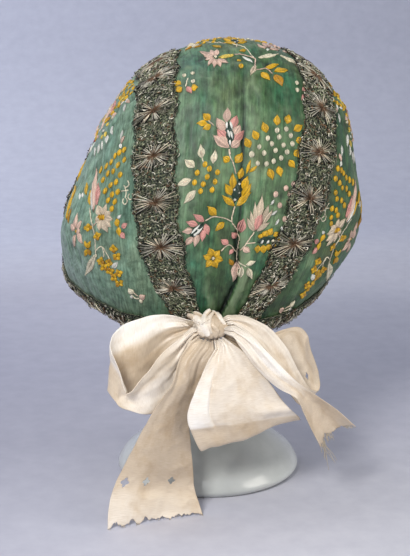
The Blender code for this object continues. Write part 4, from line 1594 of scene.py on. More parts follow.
def net_strands(threads, start, end, low, high):
    """Two crossing families of slanted strands between two edges."""
    steps = np.linspace(0, 1, STRAND_STEPS)
    for way in (-1, 1):
        at = start - STRAND_PAST
        while at < end + STRAND_PAST:
            s = at + way * (steps - 0.5) * STRAND_LEAN
            near = np.clip(s, start, end)
            off = low(near) * (1 - steps) + high(near) * steps
            if ((s > start) & (s < end)).sum() > 3:
                wobble = 0.35 * np.sin(steps * 23.0 + at)
                height = 0.1 + 0.25 * np.sin(steps * 31.0 + at * 3)
                line = np.stack([near + wobble, off, height], axis=1)
                thread = chance.choice((METAL_DARK, METAL_DARK, METAL_GREEN))
                threads.add(line, NET_WIDTH / 2, thread, chance.uniform(0.6, 1.1))
            at += NET_PITCH * 1.4


def star_rays(threads, middle, half):
    """Uneven hairpins of bright wire round a star's middle, longest to the sides."""
    for k in range(RAY_COUNT):
        angle = 2 * math.pi * (k + chance.uniform(-0.35, 0.35)) / RAY_COUNT
        sideways = abs(math.sin(angle))
        if chance.random() > 0.62 + 0.5 * sideways:
            continue
        reach = half * (0.62 + 0.34 * sideways) * chance.uniform(0.7, 1.14)
        thread = chance.choice((METAL_CREAM, METAL_PALE, METAL_PALE, METAL_GREY))
        shine = chance.uniform(0.45, 1.35)
        gap_line = ray(middle, 0.0, angle + math.pi / RAY_COUNT, 2.0, reach, 0.3)
        threads.add(gap_line, 0.6, METAL_DARK, 0.5)
        gap = chance.uniform(0.05, 0.11)
        for spread in (-gap, gap):
            line = ray(middle, 0.0, angle + spread, 1.6, reach * chance.uniform(0.9, 1.0), 0.9)
            threads.add(line, chance.uniform(0.26, 0.42), thread, shine)
        inner = ray(middle, 0.0, angle + math.pi / RAY_COUNT, 0.4, reach * 0.5, 1.2)
        threads.add(inner, 0.3, METAL_WARM, chance.uniform(0.6, 1.3))


def edge_places(length):
    return np.linspace(0, length, int(length / CORD_STEP))


def edge_line(threads, s, off, thread):
    """A line of thread along an edge, which rises and falls a little."""
    threads.add(np.stack([s, off, 0.2 + 0.25 * np.sin(s * 3.1)], axis=1), CORD_HALF, thread)


def picot(at, edge, out, size, stretch, rise):
    """A small loop of thread that stands out over an edge."""
    loop = np.pi * (np.linspace(0, 1, PICOT_STEPS) * 1.3 - 0.15)
    return np.stack([
        at + size * np.cos(loop) * stretch, edge + out * size * np.sin(loop), 0.1 + rise * np.sin(loop)
    ], axis=1)


def border(threads, band):
    """Two lines of thread and a row of small loops along each side of a band."""
    s = edge_places(band.length)
    for hand in (-1, 1):
        off = hand * (band.half(s) - CORD_INSET)
        for shift, thread in ((0.0, METAL_DARK), (0.9, METAL_GREY)):
            edge_line(threads, s, off - hand * shift, thread)
        at = 1.5
        while at < band.length:
            edge = hand * float(band.half(at))
            line = picot(at, edge, hand, chance.uniform(0.9, 1.5), 1.1, 0.5)
            thread = chance.choice((METAL_DARK, METAL_DARK, METAL_GREY, METAL_WARM))
            threads.add(line, 0.26, thread, chance.uniform(0.6, 1.1))
            at += PICOT_PITCH * chance.uniform(0.8, 1.2)


FAN_PITCH = 12.5
FAN_RAYS = 10
EDGING_ROWS = 420
EDGING_COLUMNS = 8


def edging_lace(net, metal):
    rim = Rim()
    s = np.linspace(0, rim.length, EDGING_ROWS + 1)[:-1, None]
    off = np.linspace(0, EDGING, EDGING_COLUMNS + 1)[None, :] + 0 * s
    s = s + 0 * off
    turn, v = rim.place(s, off)
    base = cloth_point(turn, v, EDGING_LIFT - 0.1)
    top = cloth_point(turn, v, EDGING_LIFT + LACE_THICK)
    ring = np.concatenate([top, base[:, ::-1]], axis=1)
    index = np.arange(ring.shape[0] * ring.shape[1]).reshape(ring.shape[:2])
    after = np.roll(index, -1, 1)
    quads = np.stack([index, after, np.roll(after, -1, 0), np.roll(index, -1, 0)], axis=-1)
    flat = np.stack([np.concatenate([s, s], 1).ravel(), np.concatenate([off, off[:, ::-1]], 1).ravel()], 1)
    sheet = outward(quad_mesh("lace_ground_edge", ring.reshape(-1, 3), quads, net, flat * MM))
    ride(sheet)
    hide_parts("lace_edge")
    threads = Threads()
    lift = EDGING_LIFT + LACE_THICK
    net_strands(threads, 0.0, rim.length, lambda at: 0 * at + 0.2, lambda at: 0 * at + EDGING)
    for _ in range(EDGING_CURLS):
        thread = chance.choice(TANGLE)
        line = curl(
            chance.uniform(0, rim.length), chance.uniform(-1.6, EDGING), chance.uniform(0.7, 1.9),
            chance.uniform(0, 6.28), chance.uniform(0, 1.6),
        )
        threads.add(line, chance.uniform(0.16, 0.32), thread, chance.uniform(0.4, 1.5))
    for fan in np.arange(0.0, rim.length, FAN_PITCH):
        for k in range(FAN_RAYS):
            angle = math.pi * (k + 0.5 + chance.uniform(-0.2, 0.2)) / FAN_RAYS
            line = ray(fan + chance.uniform(-1.5, 1.5), 0.4, angle, 0.8, chance.uniform(5.5, 10.0), 0.9)
            thread = chance.choice((METAL_CREAM, METAL_PALE, METAL_PALE, METAL_WARM))
            threads.add(line, chance.uniform(0.28, 0.44), thread, chance.uniform(0.3, 1.5))
    at = 0.0
    while at < rim.length:
        line = picot(at, 0.2, -1, chance.uniform(1.0, 2.1), 1.0, 0.7)
        thread = chance.choice((METAL_DARK, METAL_GREY, METAL_GREY, METAL_WARM, METAL_PALE))
        threads.add(line, 0.24, thread, chance.uniform(0.5, 1.2))
        at += chance.uniform(1.6, 2.8)
    s = edge_places(rim.length)
    for off, thread in ((0.2, METAL_DARK), (0.9, METAL_GREY), (EDGING - 0.3, METAL_DARK)):
        edge_line(threads, s, 0 * s + off, thread)
    lace_threads("lace_threads_edge", threads, rim.place, lift, metal)


# Bow

RIBBON_THICK = 0.5
KNOT_CENTRE = (-9.0, -86.6, 137.0)
KNOT_HALF = (13.0, 8.0, 11.0)
KNOT_CLEAR = 0.6
KNOT_SEAT = 0.3
RIBBON_WIDTH = 66.0
Station = namedtuple("Station", "place upper lower folds sag")
LOOP_LEFT = [
    Station("knot back", (-23, -84, 144), (-22, -83, 132), 1.2, 0),
    Station("shoulder", (-41, -79, 147), (-41, -83, 112), 1.6, 0),
    Station("run", (-59, -79, 145), (-60, -86, 94), 1.0, 3),
    Station("top corner", (-74, -84, 140), (-75, -90, 89), 0.4, 2),
    Station("turn", (-82, -96, 132), (-84, -98, 99), 0.3, 0),
    Station("turn end", (-79, -107, 121), (-80, -107, 93), 0.6, 3),
    Station("dip", (-72, -112, 99), (-70, -106, 85), 1.0, 6),
    Station("belly", (-57, -107, 112), (-57, -103, 81), 1.6, 3),
    Station("rise", (-46, -100, 124), (-42, -96, 86), 2.0, 0),
    Station("gather", (-34, -95, 133), (-30, -93, 109), 1.8, 0),
    Station("knot front", (-23, -92, 141), (-22, -92, 131), 1.2, 0),
]
TAIL_LEFT = [
    Station("knot", (-25, -94, 131), (-8, -98, 125), 1.0, 0),
    Station("gather", (-33, -100, 121), (-13, -99, 117), 1.8, 0),
    Station("fan", (-39, -106, 107), (-18, -99, 104), 2.2, 0),
    Station("turn", (-47, -106, 93), (-23, -98, 90), 2.0, 1),
    Station("middle", (-56, -105, 79), (-26, -96, 73), 1.5, 2),
    Station("belly", (-65, -104, 61), (-25, -95, 53), 1.0, 3),
    Station("calf", (-74, -104, 43), (-23, -93, 31), 0.6, 2),
    Station("holes", (-82, -106, 27), (-22, -92, 18), 0.5, 1),
    Station("hem", (-86, -110, 12), (-19, -93, 7), 0.4, 1),
    Station("floor", (-87, -112, 0), (-17, -94, 0), 0.4, 1),
]
LOOP_CENTRE = [
    Station("knot front", (-7, -97.5, 127), (3, -96, 130), 1.0, 0),
    Station("fan", (-13, -101, 119), (11, -98, 124), 1.2, 0),
    Station("face", (-18, -104, 110), (20, -99, 115), 0.8, 1),
    Station("belly", (-25, -107, 95), (30, -100, 101), 0.4, 2),
    Station("low face", (-29, -108, 80), (41, -99, 85), 0.2, 2),
    Station("front edge", (-26, -106, 68), (53, -97, 72), 0.0, 0),
    Station("under edge", (-18, -98, 51), (54, -92, 68), 0.0, 0),
    Station("back", (-14, -90, 62), (44, -87, 80), 0.4, 0),
    Station("back rise", (-10, -88, 92), (28, -85, 102), 0.8, 0),
    Station("back fan", (-8, -87, 115), (11, -85, 117), 0.8, 0),
    Station("knot back", (-6, -88, 124), (3, -87, 125), 0.6, 0),
]
LOOP_RIGHT = [
    Station("knot front", (1, -90, 148), (6, -91, 141), 0.8, 0),
    Station("shoulder", (12, -88, 147), (13, -91, 134), 1.4, 0),
    Station("run", (24, -86, 142), (24, -91, 122), 1.8, 0),
    Station("slope", (36, -84, 133), (32, -91, 110), 1.8, 0),
    Station("low slope", (46, -84, 119), (41, -91, 98), 1.6, 0),
    Station("low", (54, -84, 104), (48, -90, 87), 1.2, 0),
    Station("turn", (66, -80, 86), (57, -84, 76), 0.8, 0),
    Station("turn end", (74, -68, 81), (60, -74, 73), 0.6, 0),
    Station("rear low", (75, -57, 90), (53, -70, 84), 0.6, 2),
    Station("rear", (71, -53, 105), (48, -70, 101), 0.8, 2),
    Station("rear top", (61, -54, 126), (43, -69, 121), 0.8, 0),
    Station("under rim", (47, -61, 127), (33, -74, 116), 0.8, 0),
    Station("return", (26, -74, 124), (19, -78, 112), 0.8, 0),
    Station("knot back", (6, -83, 132), (4, -83, 126), 0.6, 0),
]
TAIL_RIGHT = [
    Station("knot", (5, -96, 142), (5, -97, 134), 1.0, 0),
    Station("run", (15, -103, 137), (11, -103, 125), 1.6, 0),
    Station("slope", (27, -108, 126), (22, -108, 111), 1.8, 0),
    Station("low slope", (40, -110, 112), (35, -110, 99), 1.6, 0),
    Station("pinch", (52, -109, 100), (49, -109, 90), 1.0, 2),
    Station("flare", (67, -105, 88), (55, -106, 78), 0.8, 5),
    Station("hem", (82, -102, 76), (62, -103, 63), 0.6, 9),
    Station("end", (95, -99, 63), (69, -100, 49), 0.4, 11),
]


def grid_normal(grid):
    return unit(np.cross(np.gradient(grid, axis=0), np.gradient(grid, axis=1)))


def onto_knot(grid, knot_rows):
    """Seats the rows that end at the knot on it, and keeps the others out of it."""
    centre = np.array(KNOT_CENTRE)
    away = grid - centre
    half = np.array(KNOT_HALF) + KNOT_CLEAR
    size = np.linalg.norm(away / half, axis=-1, keepdims=True)
    clear = centre + away / np.minimum(size, 1)
    seat = np.array(KNOT_HALF) + KNOT_SEAT
    reach = np.linalg.norm(away / seat, axis=-1, keepdims=True)
    for row in knot_rows:
        clear[row] = centre + away[row] / reach[row]
    return clear


def ribbon_knots(stations):
    upper = np.array([s.upper for s in stations], float)
    lower = np.array([s.lower for s in stations], float)
    return lengths_along((upper + lower) / 2), upper, lower


def ribbon_grid(stations, pleats, along, across, crease=None):
    """Points of a ribbon at shares of its length and width."""
    knots, upper, lower = ribbon_knots(stations)
    at = along * knots[-1]
    top = smooth_curve(knots, upper, at)
    bottom = smooth_curve(knots, lower, at)
    folds = smooth_curve(knots, [s.folds for s in stations], at)
    sag = smooth_curve(knots, [s.sag for s in stations], at)
    grid = top + (bottom - top) * across[..., None]
    knot_rows = [i for i, s in ((0, stations[0]), (-1, stations[-1])) if "knot" in s.place]
    to_knot = sum(np.exp(-np.abs(at - knots[i]) / GATHER_REACH) for i in knot_rows)
    drift = 0.12 * np.sin(at / 17.0) * np.sin(across * 5.0)
    waves = np.cos(2 * math.pi * (pleats * across + drift)) * folds * (0.15 + 0.85 * np.minimum(to_knot, 1))
    fine = 0.6 * np.sin(2 * math.pi * (pleats * 2.3 * across + 0.35 * np.sin(at / 9.0))) * to_knot
    broad = field(grid * np.array([1.0, 1.0, 0.8]), 30.0, 5.1, 2) * 2.2
    crumple = ridged(grid, 17.0, 9.4) * 0.8
    bow_out = np.sin(math.pi * across) * sag
    height = waves + bow_out + fine + (broad + crumple) * smooth_step(0, 25, at)
    if crease is not None:
        height = height + crease(along, across)
    out = grid + grid_normal(grid) * height[..., None]
    return onto_knot(out, knot_rows)


def shade_tone_grid(tones, along, across, sharp=None):
    """How light or dark the ribbon is painted, as painted light and shade, from a row of (place, upper,
    lower) tones along it.
    """
    places = [tone[0] for tone in tones]
    upper = np.interp(along, places, [tone[1] for tone in tones])
    lower = np.interp(along, places, [tone[2] for tone in tones])
    low, high = SOFT_STEP if sharp is None else (sharp - SHARP_HALF, sharp + SHARP_HALF)
    return upper + (lower - upper) * smooth_step(low, high, across)


def set_tone(made, values):
    layer = made.data.attributes.new(name="tone", type="FLOAT", domain="POINT")
    layer.data.foreach_set("value", np.asarray(values).ravel())


GATHER_REACH = 20.0
SOFT_STEP = (0.22, 0.42)
SHARP_HALF = 0.012
# Tones of painted light and shade: share of the ribbon's length, tone at the upper edge and at the lower
# edge.
SHADE_TONES = {
    "bow_loop_left": [
        (0.0, 0.9, 0.55), (0.12, 1.0, 0.4), (0.38, 1.0, 0.35), (0.48, 0.9, 0.5), (0.6, 0.65, 0.75),
        (0.8, 0.6, 0.85), (1.0, 0.8, 0.6),
    ],
    "bow_tail_left": [
        (0.0, 0.6, 0.3), (0.15, 0.3, 0.05), (0.45, 0.25, 0.0), (0.74, 0.25, 0.05), (0.86, 0.65, 0.5),
        (1.0, 0.8, 0.7),
    ],
    "bow_loop_centre": [
        (0.0, 0.8, 0.8), (0.12, 0.85, 0.7), (0.22, 0.95, 0.7), (0.30, 1.0, 0.74), (0.405, 1.0, 0.7),
        (0.42, 0.45, 0.4), (1.0, 0.3, 0.3),
    ],
    "bow_loop_right": [
        (0.0, 0.75, 0.8), (0.25, 0.75, 0.6), (0.45, 0.6, 0.45), (0.55, 0.35, 0.35), (1.0, 0.3, 0.3),
    ],
    "bow_tail_right": [
        (0.0, 0.9, 0.8), (0.4, 1.0, 0.8), (0.6, 0.6, 0.5), (0.75, 0.25, 0.25), (1.0, 0.3, 0.2),
    ],
}
# Where a crisp fold parts the painted lit and shaded tones, as a share of the width.
SHARP_SHADE_TONES = {"bow_loop_centre": 0.225, "bow_tail_right": 0.5}
# The holes torn in the ribbons: where each shows in the photograph, and the stretch of the
# ribbon that it is in, as shares of its length.
HOLES = {
    "bow_tail_left": [((171.0, 480.5), 0.0, 1.0), ((146.0, 482.0), 0.0, 1.0), ((125.0, 482.0), 0.0, 1.0)],
    "bow_loop_right": [((307.0, 376.5), 0.0, 0.5), ((307.0, 376.5), 0.5, 1.0)],
}
HOLE_LOBE = 3.4
HOLE_WAIST = 1.9


def hole_reach(angle):
    """How far a four-lobed hole reaches at an angle."""
    return HOLE_WAIST + (HOLE_LOBE - HOLE_WAIST) * np.abs(np.cos(2 * angle)) ** 1.5


def cut_holes(along, across, sheet, length, holes):
    """The grid with its points drawn onto the holes' outlines, and the cells to keep."""
    shown = pixel_of(sheet)
    keep = np.ones((along.shape[0] - 1, along.shape[1] - 1), bool)
    along, across = along.copy(), across.copy()
    for pixel, first, last in holes:
        aside = np.linalg.norm(shown - np.array(pixel), axis=-1)
        aside[(along < first) | (along > last)] = HOLE_LOBE
        row, column = np.unravel_index(np.argmin(aside), along.shape)
        if aside[row, column] >= HOLE_WAIST:
            continue
        down = (along - along[row, column]) * length
        side = (across - across[row, column]) * RIBBON_WIDTH
        angle = np.arctan2(down, side)
        reach = hole_reach(angle)
        inside = np.hypot(down, side) < reach
        corners = (inside[:-1, :-1], inside[1:, :-1], inside[:-1, 1:], inside[1:, 1:])
        gone = sum(corner.astype(int) for corner in corners) >= 3
        keep &= ~gone
        rim = np.zeros(along.shape, bool)
        kept = np.zeros(along.shape, bool)
        for down_by, side_by in ((0, 0), (1, 0), (0, 1), (1, 1)):
            view = (slice(down_by, down_by + gone.shape[0]), slice(side_by, side_by + gone.shape[1]))
            rim[view] |= gone
            kept[view] |= ~gone
        rim &= kept
        along[rim] += ((reach * np.sin(angle) - down) / length)[rim]
        across[rim] += ((reach * np.cos(angle) - side) / RIBBON_WIDTH)[rim]
    return along, across, keep


def ribbon(name, stations, pleats, look, size, hem=None, crease=None):
    """One length of ribbon: a fine sheet with its gathers, tones of painted light and shade, torn end and
    holes.
    """
    rows, columns = size
    along = np.linspace(0, 1, rows + 1)[:, None]
    across = np.linspace(0, 1, columns + 1)[None, :]
    along, across = np.broadcast_arrays(along, across)
    length = ribbon_knots(stations)[0][-1]
    if hem is not None:
        along = along * (1 - hem(across) / length)
    keep = None
    sheet = ribbon_grid(stations, pleats, along, across, crease)
    if name in HOLES:
        along, across, keep = cut_holes(along, across, sheet, length, HOLES[name])
        sheet = ribbon_grid(stations, pleats, along, across, crease)
    offset = grid_normal(sheet) * RIBBON_THICK / 2
    front, back = sheet + offset, sheet - offset
    for side in (front, back):
        side[..., 2] = np.maximum(side[..., 2], 0.02)
    flat = np.stack([across.ravel() * RIBBON_WIDTH, along.ravel() * length], axis=1) * MM
    tones = shade_tone_grid(SHADE_TONES[name], along, across, SHARP_SHADE_TONES.get(name)).ravel()
    made = outward(closed_wall(name.replace("bow_", "ribbon_"), front, back, look, flat, keep, tones))
    ride(made)
    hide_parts(name)
    return sheet


def scalloped_hem(across):
    return 2.0 * (0.5 - 0.5 * np.cos(across * 2 * math.pi * 6)) + torn(across, 4.2, 3.0)


def torn_end(across):
    return 1.0 + torn(across, 5.0, 8.0) + 3.0 * np.exp(-(((across - 0.72) / 0.1) ** 2))


def torn(across, depth, seed):
    """An uneven tear along a ribbon's end, in mm."""
    points = np.stack([across * 9.0, 0 * across + seed, 0 * across], axis=-1)
    return depth * np.abs(field(points, 1.0, seed, 4))


def centre_crease(along, across):
    """The sharp fold down the centre loop, and the roll along its lower right edge."""
    strip = -1.1 * np.exp(-(((across - 0.23) / 0.018) ** 2)) + 0.8 * smooth_step(0.23, 0.2, across)
    roll = 3.2 * np.exp(-(((along - 0.36) / 0.03) ** 2)) * smooth_step(0.55, 0.9, across)
    return strip * smooth_step(0.1, 0.2, along) * (1 - smooth_step(0.40, 0.44, along)) + roll


def tail_crease(along, across):
    """The fold along the right tail, which opens into a V at its end."""
    return -3.0 * smooth_step(0.5, 0.9, along) * np.exp(-(((across - 0.55) / 0.2) ** 2))


def bow(look):
    """All the ribbons, and the last row of points of each that ends loose."""
    ribbon("bow_loop_left", LOOP_LEFT, 3, look, (130, 40))
    left = ribbon("bow_tail_left", TAIL_LEFT, 2, look, (200, 76), scalloped_hem)
    ribbon("bow_loop_centre", LOOP_CENTRE, 2, look, (124, 72), crease=centre_crease)
    ribbon("bow_loop_right", LOOP_RIGHT, 2, look, (170, 60))
    right = ribbon("bow_tail_right", TAIL_RIGHT, 2, look, (120, 44), torn_end, tail_crease)
    return {"bow_tail_left": left[-1], "bow_tail_right": right[-1]}


KNOT_SIDES = 96
KNOT_RINGS = 48
# The knot's body is painted dark, as painted shade.
KNOT_SHADE_TONE = 0.25

# Rolls of ribbon over the knot: pixels of the photograph, half width and rise in mm, and tone of painted
# light and shade.
Roll = namedtuple("Roll", "pixels half rise tone")
KNOT_ROLLS = [
    Roll([(210.5, 309.0), (204.5, 315.5), (203.5, 324.0), (205.5, 331.0), (208.5, 336.5)], 3.4, 3.0, 0.95),
    Roll([(213.5, 311.0), (209.5, 318.0), (209.0, 326.0), (211.5, 334.0)], 2.0, 2.2, 0.75),
    Roll([(186.5, 314.0), (193.0, 317.0), (199.0, 321.0), (204.0, 327.0)], 3.2, 3.0, 0.9),
    Roll([(187.0, 322.0), (193.5, 324.5), (199.5, 329.0), (203.5, 334.0)], 2.8, 2.6, 0.85),
    Roll([(189.0, 332.0), (195.5, 331.5), (200.0, 333.0), (204.5, 336.5)], 2.4, 2.2, 0.7),
    Roll([(193.0, 311.5), (198.0, 313.5), (202.5, 316.0)], 2.2, 2.2, 0.95),
    Roll([(212.0, 310.5), (216.5, 313.0), (220.5, 318.5), (226.0, 325.0)], 2.0, 2.4, 0.9),
    Roll([(211.0, 322.0), (215.0, 327.5), (219.0, 333.0)], 1.6, 1.8, 0.55),
]
ROLL_STEPS = 28
ROLL_SIDES = 14


def on_knot(pixel):
    """Where the view through a pixel meets the knot, or comes nearest to it."""
    start, way = pixel_ray(pixel)
    centre = np.array(KNOT_CENTRE)
    half = np.array(KNOT_HALF)
    scaled_start, scaled_way = (start - centre) / half, way / half
    nearest = -(scaled_start @ scaled_way) / (scaled_way @ scaled_way)
    gap = scaled_start + scaled_way * nearest
    room = 1 - gap @ gap
    back_off = math.sqrt(max(room, 0) / (scaled_way @ scaled_way))
    return start + way * (nearest - back_off)


def knot_roll(roll, look):
    """A soft roll of ribbon that lies over the knot and thins out at its ends, painted darker on the side
    against the knot as painted shade.
    """
    places = np.array([on_knot(pixel) for pixel in roll.pixels])
    knots = lengths_along(places)
    t = np.linspace(0, 1, ROLL_STEPS)
    line = smooth_curve(knots, places, t * knots[-1])
    away = unit((line - np.array(KNOT_CENTRE)) / np.array(KNOT_HALF) ** 2)
    angle = np.linspace(0, 2 * math.pi, ROLL_SIDES, endpoint=False)
    form = np.stack([np.cos(angle), np.sin(angle) * 0.8 + 0.1 * np.cos(3 * angle)], axis=1)
    swell = 0.45 + 0.55 * np.sin(np.pi * t) ** 0.7
    rings = swept(
        line[None] - away[None] * 0.6, away[None], roll.half * swell[None], roll.rise * swell[None], form
    )[0]
    rings = rings + field(rings, 5.0, 2.2, 2)[..., None] * away[:, None, :] * 0.7
    flat = np.stack(np.broadcast_arrays(angle * 4, t[:, None] * knots[-1]), axis=-1).reshape(-1, 2) * MM
    made = quad_mesh("roll", rings.reshape(-1, 3), tube_quads(ROLL_STEPS, ROLL_SIDES), look, flat)
    # Painted shade on the side of the roll that lies against the knot.
    side = smooth_step(0.55, -0.3, np.sin(angle))
    set_tone(made, np.broadcast_to(roll.tone - 0.75 * side, rings.shape[:2]))
    return outward(made, fill=True)


def knot(look):
    """The knot's body with its creases, painted dark as shade, under rolls of ribbon."""
    around = np.linspace(0, 2 * math.pi, KNOT_SIDES, endpoint=False)[None, :]
    polar = np.linspace(0.02, math.pi - 0.02, KNOT_RINGS + 1)[:, None]
    x = np.sin(polar) * np.cos(around)
    z = np.sin(polar) * np.sin(around)
    y = np.cos(polar) + 0 * around
    ball = np.stack([x, y, z], axis=-1)
    fan = np.arctan2(z + 1.2, x - 0.3)
    ridges = 0.10 * (np.abs(np.sin(fan * 7.0 + y)) - 0.6)
    lumps = field(ball * 12.0, 9.0, 8.8, 3) * 0.08
    size = (0.96 + ridges + lumps) * (1 - 0.2 * smooth_step(0.0, 0.8, -z))
    points = np.array(KNOT_CENTRE) + ball * np.array(KNOT_HALF) * size[..., None]
    flat = np.stack([(ball[..., 0] * 13).ravel(), (ball[..., 2] * 11).ravel()], axis=1) * MM
    quads = tube_quads(KNOT_RINGS + 1, KNOT_SIDES)
    body = outward(quad_mesh("knot_body", points.reshape(-1, 3), quads, look, flat), fill=True)
    set_tone(body, np.full(x.size, KNOT_SHADE_TONE))
    made = merged("knot_wrap", [body] + [knot_roll(roll, look) for roll in KNOT_ROLLS])
    ride(made)
    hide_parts("bow_knot")


# Loose threads: the ribbon they come from, where along its end, number, length and slant in mm.
Fray = namedtuple("Fray", "ribbon low high count length slant")
FRAYS = [
    Fray("bow_tail_right", 0.55, 1.0, 34, 7.0, (0.35, -0.1, -0.9)),
    Fray("bow_tail_right", 0.84, 0.92, 8, 24.0, (0.4, -0.1, -0.9)),
    Fray("bow_tail_right", 0.0, 0.25, 14, 4.0, (0.8, -0.1, -0.5)),
    Fray("bow_tail_left", 0.0, 1.0, 46, 2.5, (0.0, -0.8, -0.3)),
]
KNOT_FRAYS = 12
FRAY_COLOUR = (232, 216, 190)
KNOT_FRAY_FROM = (-25.0, -94.0, 143.0)
FRAY_STEPS = 10


def frays(ends, look):
    """Threads that have come loose at the torn ends and beside the knot."""
    starts = []
    for fray in FRAYS:
        end = ends[fray.ribbon]
        for _ in range(fray.count):
            place = end[round(chance.uniform(fray.low, fray.high) * (len(end) - 1))]
            starts.append((place, fray.length * chance.uniform(0.3, 1.0), np.array(fray.slant)))
    for _ in range(KNOT_FRAYS):
        place = np.array(KNOT_FRAY_FROM) + np.array([chance.uniform(-4, 8), 0, chance.uniform(-3, 2)])
        starts.append((place, chance.uniform(4, 10), np.array([chance.uniform(-0.9, 0.6), -0.2, 0.5])))
    t = np.linspace(0, 1, FRAY_STEPS)[:, None]
    lines = []
    for place, length, slant in starts:
        slant = slant + np.array([chance.uniform(-0.35, 0.35), chance.uniform(-0.3, 0.2), 0])
        sway = np.sin(t * chance.uniform(3, 8)) * chance.uniform(-1, 1) * length * 0.12
        line = place + slant * length * t + sway * np.array([1.0, 0.4, 0.0])
        line[:, 2] = np.maximum(line[:, 2], 0.3)
        lines.append(line)
    centre = np.array(lines)
    normal = np.broadcast_to(np.array([0.0, -1.0, 0.0]), centre.shape)
    width = np.full(centre.shape[:2], 0.17)
    points = swept(centre, normal, width, width, WIRE_FORM)
    colours = np.array([srgb(*FRAY_COLOUR)[:3]] * len(lines))
    made = joined(points, WIRE_FORM, WIRE_SHADE, colours, "ribbon_frays", look)
    ride(made)


# Stand

STAND_SIDES = 128
FOOT_PROFILE = [
    (66.0, 0.0), (70.0, 4.0), (67.0, 12.0), (57.0, 22.0), (45.0, 32.5),
    (32.0, 41.0), (20.0, 51.0), (12.5, 66.0), (9.0, 88.0),
]
STEM_RADIUS = 9.0
HEAD_RADIUS = 58.0
HEAD_RISE = 52.0
HEAD_EDGE = 4.0
HEAD_STEPS = 24
SEAT_GAP = 0.5


def head_top():
    """The height at which the head just clears the silk inside the crown."""
    v = np.linspace(0, 1, 140)[:, None]
    u = np.linspace(-1.3, 1.3, 120)[None, :]
    turn = turn_at(u, v)
    inside = cloth_point(turn, v + 0 * turn, -CLOTH)
    radius = np.hypot(inside[..., 0], inside[..., 1])
    over = radius < HEAD_RADIUS
    below = HEAD_RISE * (1 - np.sqrt(np.maximum(1 - (radius / HEAD_RADIUS) ** 2, 0)))
    return float((inside[..., 2] + below)[over].min()) - SEAT_GAP


def stand(look):
    top = head_top()
    rim = top - HEAD_RISE
    knots = lengths_along(np.array(FOOT_PROFILE))
    fine = np.linspace(0, knots[-1], 60)
    smooth = smooth_curve(knots, FOOT_PROFILE, fine)
    smooth[:, 1] = np.maximum(smooth[:, 1], 0)
    profile = [tuple(p) for p in smooth]
    profile += [(STEM_RADIUS, rim - HEAD_EDGE), (HEAD_RADIUS - HEAD_EDGE, rim - HEAD_EDGE)]
    for step in range(HEAD_STEPS):
        angle = math.pi / 2 * step / HEAD_STEPS
        profile.append((HEAD_RADIUS * math.cos(angle), rim + HEAD_RISE * math.sin(angle)))
    profile = np.array(profile)
    angle = np.linspace(0, 2 * math.pi, STAND_SIDES, endpoint=False)
    radius, height = profile[:, None, 0], profile[:, None, 1]
    points = np.stack([radius * np.cos(angle), radius * np.sin(angle), height + 0 * angle], axis=-1)
    quads = tube_quads(len(profile), STAND_SIDES)
    made = outward(quad_mesh("stand_foot_and_head", points.reshape(-1, 3), quads, look), fill=True)
    made.data.set_sharp_from_angle(angle=math.radians(50))
    ride(made)
    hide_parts("hat_stand")


# More materials

def thread_material(name, metallic, roughness):
    made, tree, shader = new_material(name, roughness, metallic)
    colour = node(tree, "ShaderNodeVertexColor", layer_name="thread").outputs["Color"]
    grain = stretched_noise(tree, uv_of(tree, "fibre"), (14, 2.0, 1), 3, 0.6)
    tone = ramp(tree, grain, [(0.3, srgb(160, 160, 160)), (0.7, srgb(255, 255, 255))])
    tree.links.new(mix_colour(tree, 1.0, colour, tone, "MULTIPLY"), shader.inputs["Base Color"])
    bump(tree, grain, shader, 0.3, 0.0002)
    return made


def net_material():
    """The lace's own ground: pale crossing threads round dark meshes."""
    made, tree, shader = new_material("lace_net", 0.6, 0.2)
    cloth = uv_of(tree, "cloth")
    warped = mix_colour(tree, 0.0012, cloth, node_colour(tree, cloth, 300.0))
    cells = node(tree, "ShaderNodeTexVoronoi", distance="MANHATTAN", Scale=430.0, Randomness=0.45)
    tree.links.new(warped, cells.inputs["Vector"])
    colour = ramp(tree, cells.outputs["Distance"], [
        (0.30, srgb(20, 28, 21)), (0.55, srgb(74, 90, 72)), (0.85, srgb(138, 142, 116))
    ])
    patchy = noise_node(tree, stretched(tree, cloth, (160, 160, 1)), 1.0, 4, 0.6)
    tone = ramp(tree, patchy, [(0.35, srgb(150, 150, 140)), (0.65, srgb(255, 252, 244))])
    tree.links.new(mix_colour(tree, 1.0, colour, tone, "MULTIPLY"), shader.inputs["Base Color"])
    bump(tree, cells.outputs["Distance"], shader, 0.9, 0.0008)
    return made


def node_colour(tree, vector, scale):
    made = node(tree, "ShaderNodeTexNoise", Scale=scale, Detail=2.0)
    tree.links.new(vector, made.inputs["Vector"])
    return made.outputs["Color"]


